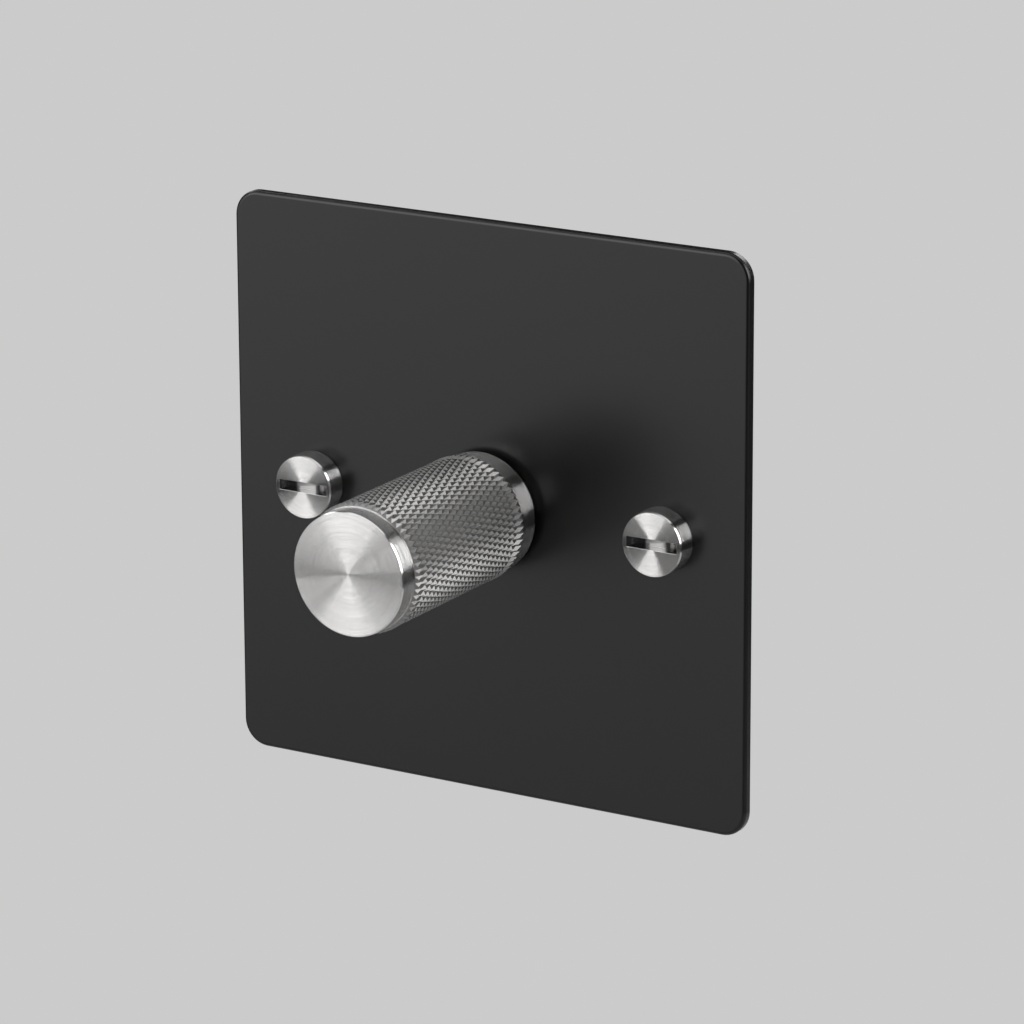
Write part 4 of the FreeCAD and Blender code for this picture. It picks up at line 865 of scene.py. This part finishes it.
plateLook = {"grey": 0.0014, "roughness": 0.30, "grainScale": 5200, "grainStrength": 0.12,
             "grainDepth": 0.01 * mm, "grainRoughness": 0.05,
             "broadScale": 90, "broadShade": 0.15, "broadRoughness": 0.03}
satinBlack = coatedPlate(plateLook)
housingBlack = mouldedPlastic("housingBlack", (0.020, 0.020, 0.021), 0.46, 0.5)
caseDark = mouldedPlastic("caseDark", (0.035, 0.037, 0.042), 0.40, 0.3)
nylonWhite = mouldedPlastic("nylonWhite", (0.74, 0.73, 0.69), 0.38, 0.2)
filmRed = mouldedPlastic("filmRed", (0.42, 0.045, 0.020), 0.24, 0.12)
padGrey = mouldedPlastic("padGrey", (0.30, 0.31, 0.33), 0.62, 0.7)
ferriteGrey = mouldedPlastic("ferriteGrey", (0.055, 0.053, 0.052), 0.58, 0.9)
aluminium = rolledAluminium(rolling)
laminate = boardLaminate(board)
powerPackage = splitFinish("powerPackage", packageMetal,
                           {"colour": (0.022, 0.022, 0.023), "roughness": 0.48},
                           {"colour": (0.63, 0.62, 0.60), "roughness": 0.30})
chipPackage = splitFinish("chipPackage", chipMetal,
                          {"colour": (0.025, 0.025, 0.026), "roughness": 0.52},
                          {"colour": (0.66, 0.66, 0.67), "roughness": 0.25})
fuseBody = splitFinish("fuseBody", fuseMetal,
                       {"colour": (0.66, 0.62, 0.54), "roughness": 0.42},
                       {"colour": (0.66, 0.65, 0.63), "roughness": 0.24})

finishes = {
    "front_plate": satinBlack, "heat_plate": aluminium, "housing": housingBlack,
    "switch_case": caseDark, "pot_case": caseDark, "knob_insert": nylonWhite,
    "plunger": nylonWhite, "pot_rotor": nylonWhite, "circuit_board": laminate,
    "pot_wafer": laminate, "transistor_pads": padGrey, "power_transistors": powerPackage,
    "control_chip": chipPackage, "inductor_core": ferriteGrey,
    "inductor_winding": woundCopper(winding), "film_capacitor": filmRed,
    "smoothing_capacitor": canAluminium, "fuse": fuseBody,
    "resistors": bandedResistor(resistor),
    "shaft": nickelPlated, "bush": nickelPlated, "bush_nut": nickelPlated,
    "bush_washer": zincPlated, "shaft_clip": zincPlated, "return_spring": zincPlated,
    "housing_screws": zincPlated, "terminal_screws": zincPlated, "earth_screw": zincPlated,
    "terminal_left": bareBrass, "terminal_middle": bareBrass, "terminal_right": bareBrass,
    "earth_terminal": bareBrass, "pot_pins": bareBrass, "pot_wiper": bareBrass,
    "contact_bridge": bareBrass, "fixed_contacts": bareBrass,
    "knob": turnedKnob, "coin_screw_left": zincPlated, "coin_screw_right": zincPlated,
}
for name, node in nodes.items():
    node.data.materials.clear()
    node.data.materials.append(finishes[name])
print("finishes set on", len(finishes), "nodes")


# angles in degrees as seen from the plate, distances in metres; wallAcross and wallUp
# are (angle, share) pairs of the pale wall's light
studio = {"backdrop": 0.597, "floor": -0.32, "floorSize": 1.5, "floorGrey": 0.50,
          "dark": 0.03, "wall": 1.9,
          "wallAcross": [(-84, 0.0), (-70, 0.12), (-60, 0.5), (-46, 1.0), (-34, 0.95),
                         (-10, 0.6), (3, 0.40), (8, 0.0)],
          "wallUp": [(-42, 0.0), (-24, 0.2), (-16, 0.5), (-9, 0.85), (2, 1.0), (16, 0.8),
                     (30, 0.0)],
          "lamps": {
              "key": {"azimuth": -32, "elevation": 32, "distance": 0.95, "wide": 54,
                      "tall": 44, "radiance": 2.0},
              "side": {"azimuth": 82, "elevation": 21, "distance": 0.85, "wide": 26,
                       "tall": 40, "radiance": 6.0},
              "far": {"azimuth": 118, "elevation": 25, "distance": 0.85, "wide": 16,
                      "tall": 42, "radiance": 4.4},
              "top": {"azimuth": -117, "elevation": 32, "distance": 0.9, "wide": 34,
                      "tall": 16, "radiance": 2.5},
              "roof": {"azimuth": 180, "elevation": 88, "distance": 0.95, "wide": 64,
                       "tall": 26, "radiance": 1.2},
              "rear": {"azimuth": 180, "elevation": 14, "distance": 0.95, "wide": 24,
                       "tall": 44, "radiance": 5.0}}}


def pointAt(azimuth, elevation):
    # azimuth turns from straight in front of the plate towards +X
    turn = math.radians(azimuth)
    rise = math.radians(elevation)
    return Vector((math.sin(turn) * math.cos(rise), -math.cos(turn) * math.cos(rise),
                   math.sin(rise)))


def softbox(name, values):
    wide = 2 * values["distance"] * math.tan(math.radians(values["wide"] / 2))
    tall = 2 * values["distance"] * math.tan(math.radians(values["tall"] / 2))
    data = bpy.data.lights.new(name, "AREA")
    data.shape = "RECTANGLE"
    data.size = wide
    data.size_y = tall
    data.energy = values["radiance"] * math.pi * wide * tall  # watts
    lamp = bpy.data.objects.new(name, data)
    bpy.context.scene.collection.objects.link(lamp)
    away = pointAt(values["azimuth"], values["elevation"])
    lamp.location = away * values["distance"]
    lamp.rotation_euler = away.to_track_quat("Z", "Y").to_euler()


def studioWorld(values):
    # a dark room with one pale wall, whose light falls off by angle across and up
    world = bpy.data.worlds.new("studio")
    bpy.context.scene.world = world
    world.use_nodes = True
    world.node_tree.nodes.clear()
    start = Wire(world.node_tree)
    x, y, z = partsOf(start.node("ShaderNodeTexCoord", out="Generated"))
    across = x.done("ARCTAN2", -1 * y) * (180 / math.pi)
    up = z.done("ARCSINE") * (180 / math.pi)
    pale = 1.0
    for angle, stops in ((across, values["wallAcross"]), (up, values["wallUp"])):
        low, high = stops[0][0], stops[-1][0]
        shares = [((place - low) / (high - low), (share,) * 3) for place, share in stops]
        pale = ramp((angle - low) / (high - low), shares) * pale
    room = pale * values["wall"] + shade(values["dark"])[:3]
    seen = start.node("ShaderNodeLightPath", out="Is Camera Ray")
    colour = seen.blend(room, shade(values["backdrop"]))
    glow = start.node("ShaderNodeBackground", None, {"Color": colour, "Strength": 1.0})
    start.node("ShaderNodeOutputWorld", None, {"Surface": glow})


def paleFloor(values):
    clearSelection()
    bpy.ops.mesh.primitive_plane_add(size=values["floorSize"],
                                     location=(0, 0, values["floor"]))
    floor = named("floor")
    bpy.ops.object.transform_apply(location=True, rotation=True, scale=True)
    material, start = newFinish("paleFloor")
    seen = start.node("ShaderNodeLightPath", out="Is Camera Ray")
    matt = start.node("ShaderNodeBsdfDiffuse", None, {"Color": shade(values["floorGrey"])})
    plain = start.node("ShaderNodeEmission", None, {"Color": shade(values["backdrop"])})
    mixed = start.node("ShaderNodeMixShader", None, {0: seen, 1: matt, 2: plain})
    start.node("ShaderNodeOutputMaterial", None, {"Surface": mixed})
    floor.data.materials.append(material)


for name, lamp in studio["lamps"].items():
    softbox(name, lamp)
studioWorld(studio)
paleFloor(studio)
print("studio set")


# Focal length and centre are in pixels of the picture, angles in degrees, the sensor and
# the place in millimetres, the clipping in metres.
view = {"focal": 5084.9, "picture": 1024, "centre": (512, 400), "yaw": 30.925,
        "pitch": -15.054, "roll": 0.244, "place": (376.0, -621.5, 211.9),
        "sensor": 36.0, "clip": (0.05, 20)}


def setCamera(values):
    data = bpy.data.cameras.new("camera")
    data.sensor_width = values["sensor"]
    data.sensor_fit = "HORIZONTAL"
    data.lens = values["focal"] / values["picture"] * values["sensor"]
    data.shift_x = 0.5 - values["centre"][0] / values["picture"]
    data.shift_y = values["centre"][1] / values["picture"] - 0.5
    data.clip_start, data.clip_end = values["clip"]
    camera = bpy.data.objects.new("camera", data)
    bpy.context.scene.collection.objects.link(camera)
    turn = (Matrix.Rotation(math.radians(values["yaw"]), 3, "Z")
            @ Matrix.Rotation(math.radians(values["pitch"]), 3, "X")
            @ Matrix.Rotation(math.radians(values["roll"]), 3, "Y"))
    right, forward, up = (turn.col[index] for index in range(3))
    axes = Matrix((right, up, -forward)).transposed().to_4x4()
    camera.matrix_world = Matrix.Translation(Vector(values["place"]) * mm) @ axes
    bpy.context.scene.camera = camera


setCamera(view)
bpy.context.scene.view_settings.view_transform = "Standard"
print("camera set")
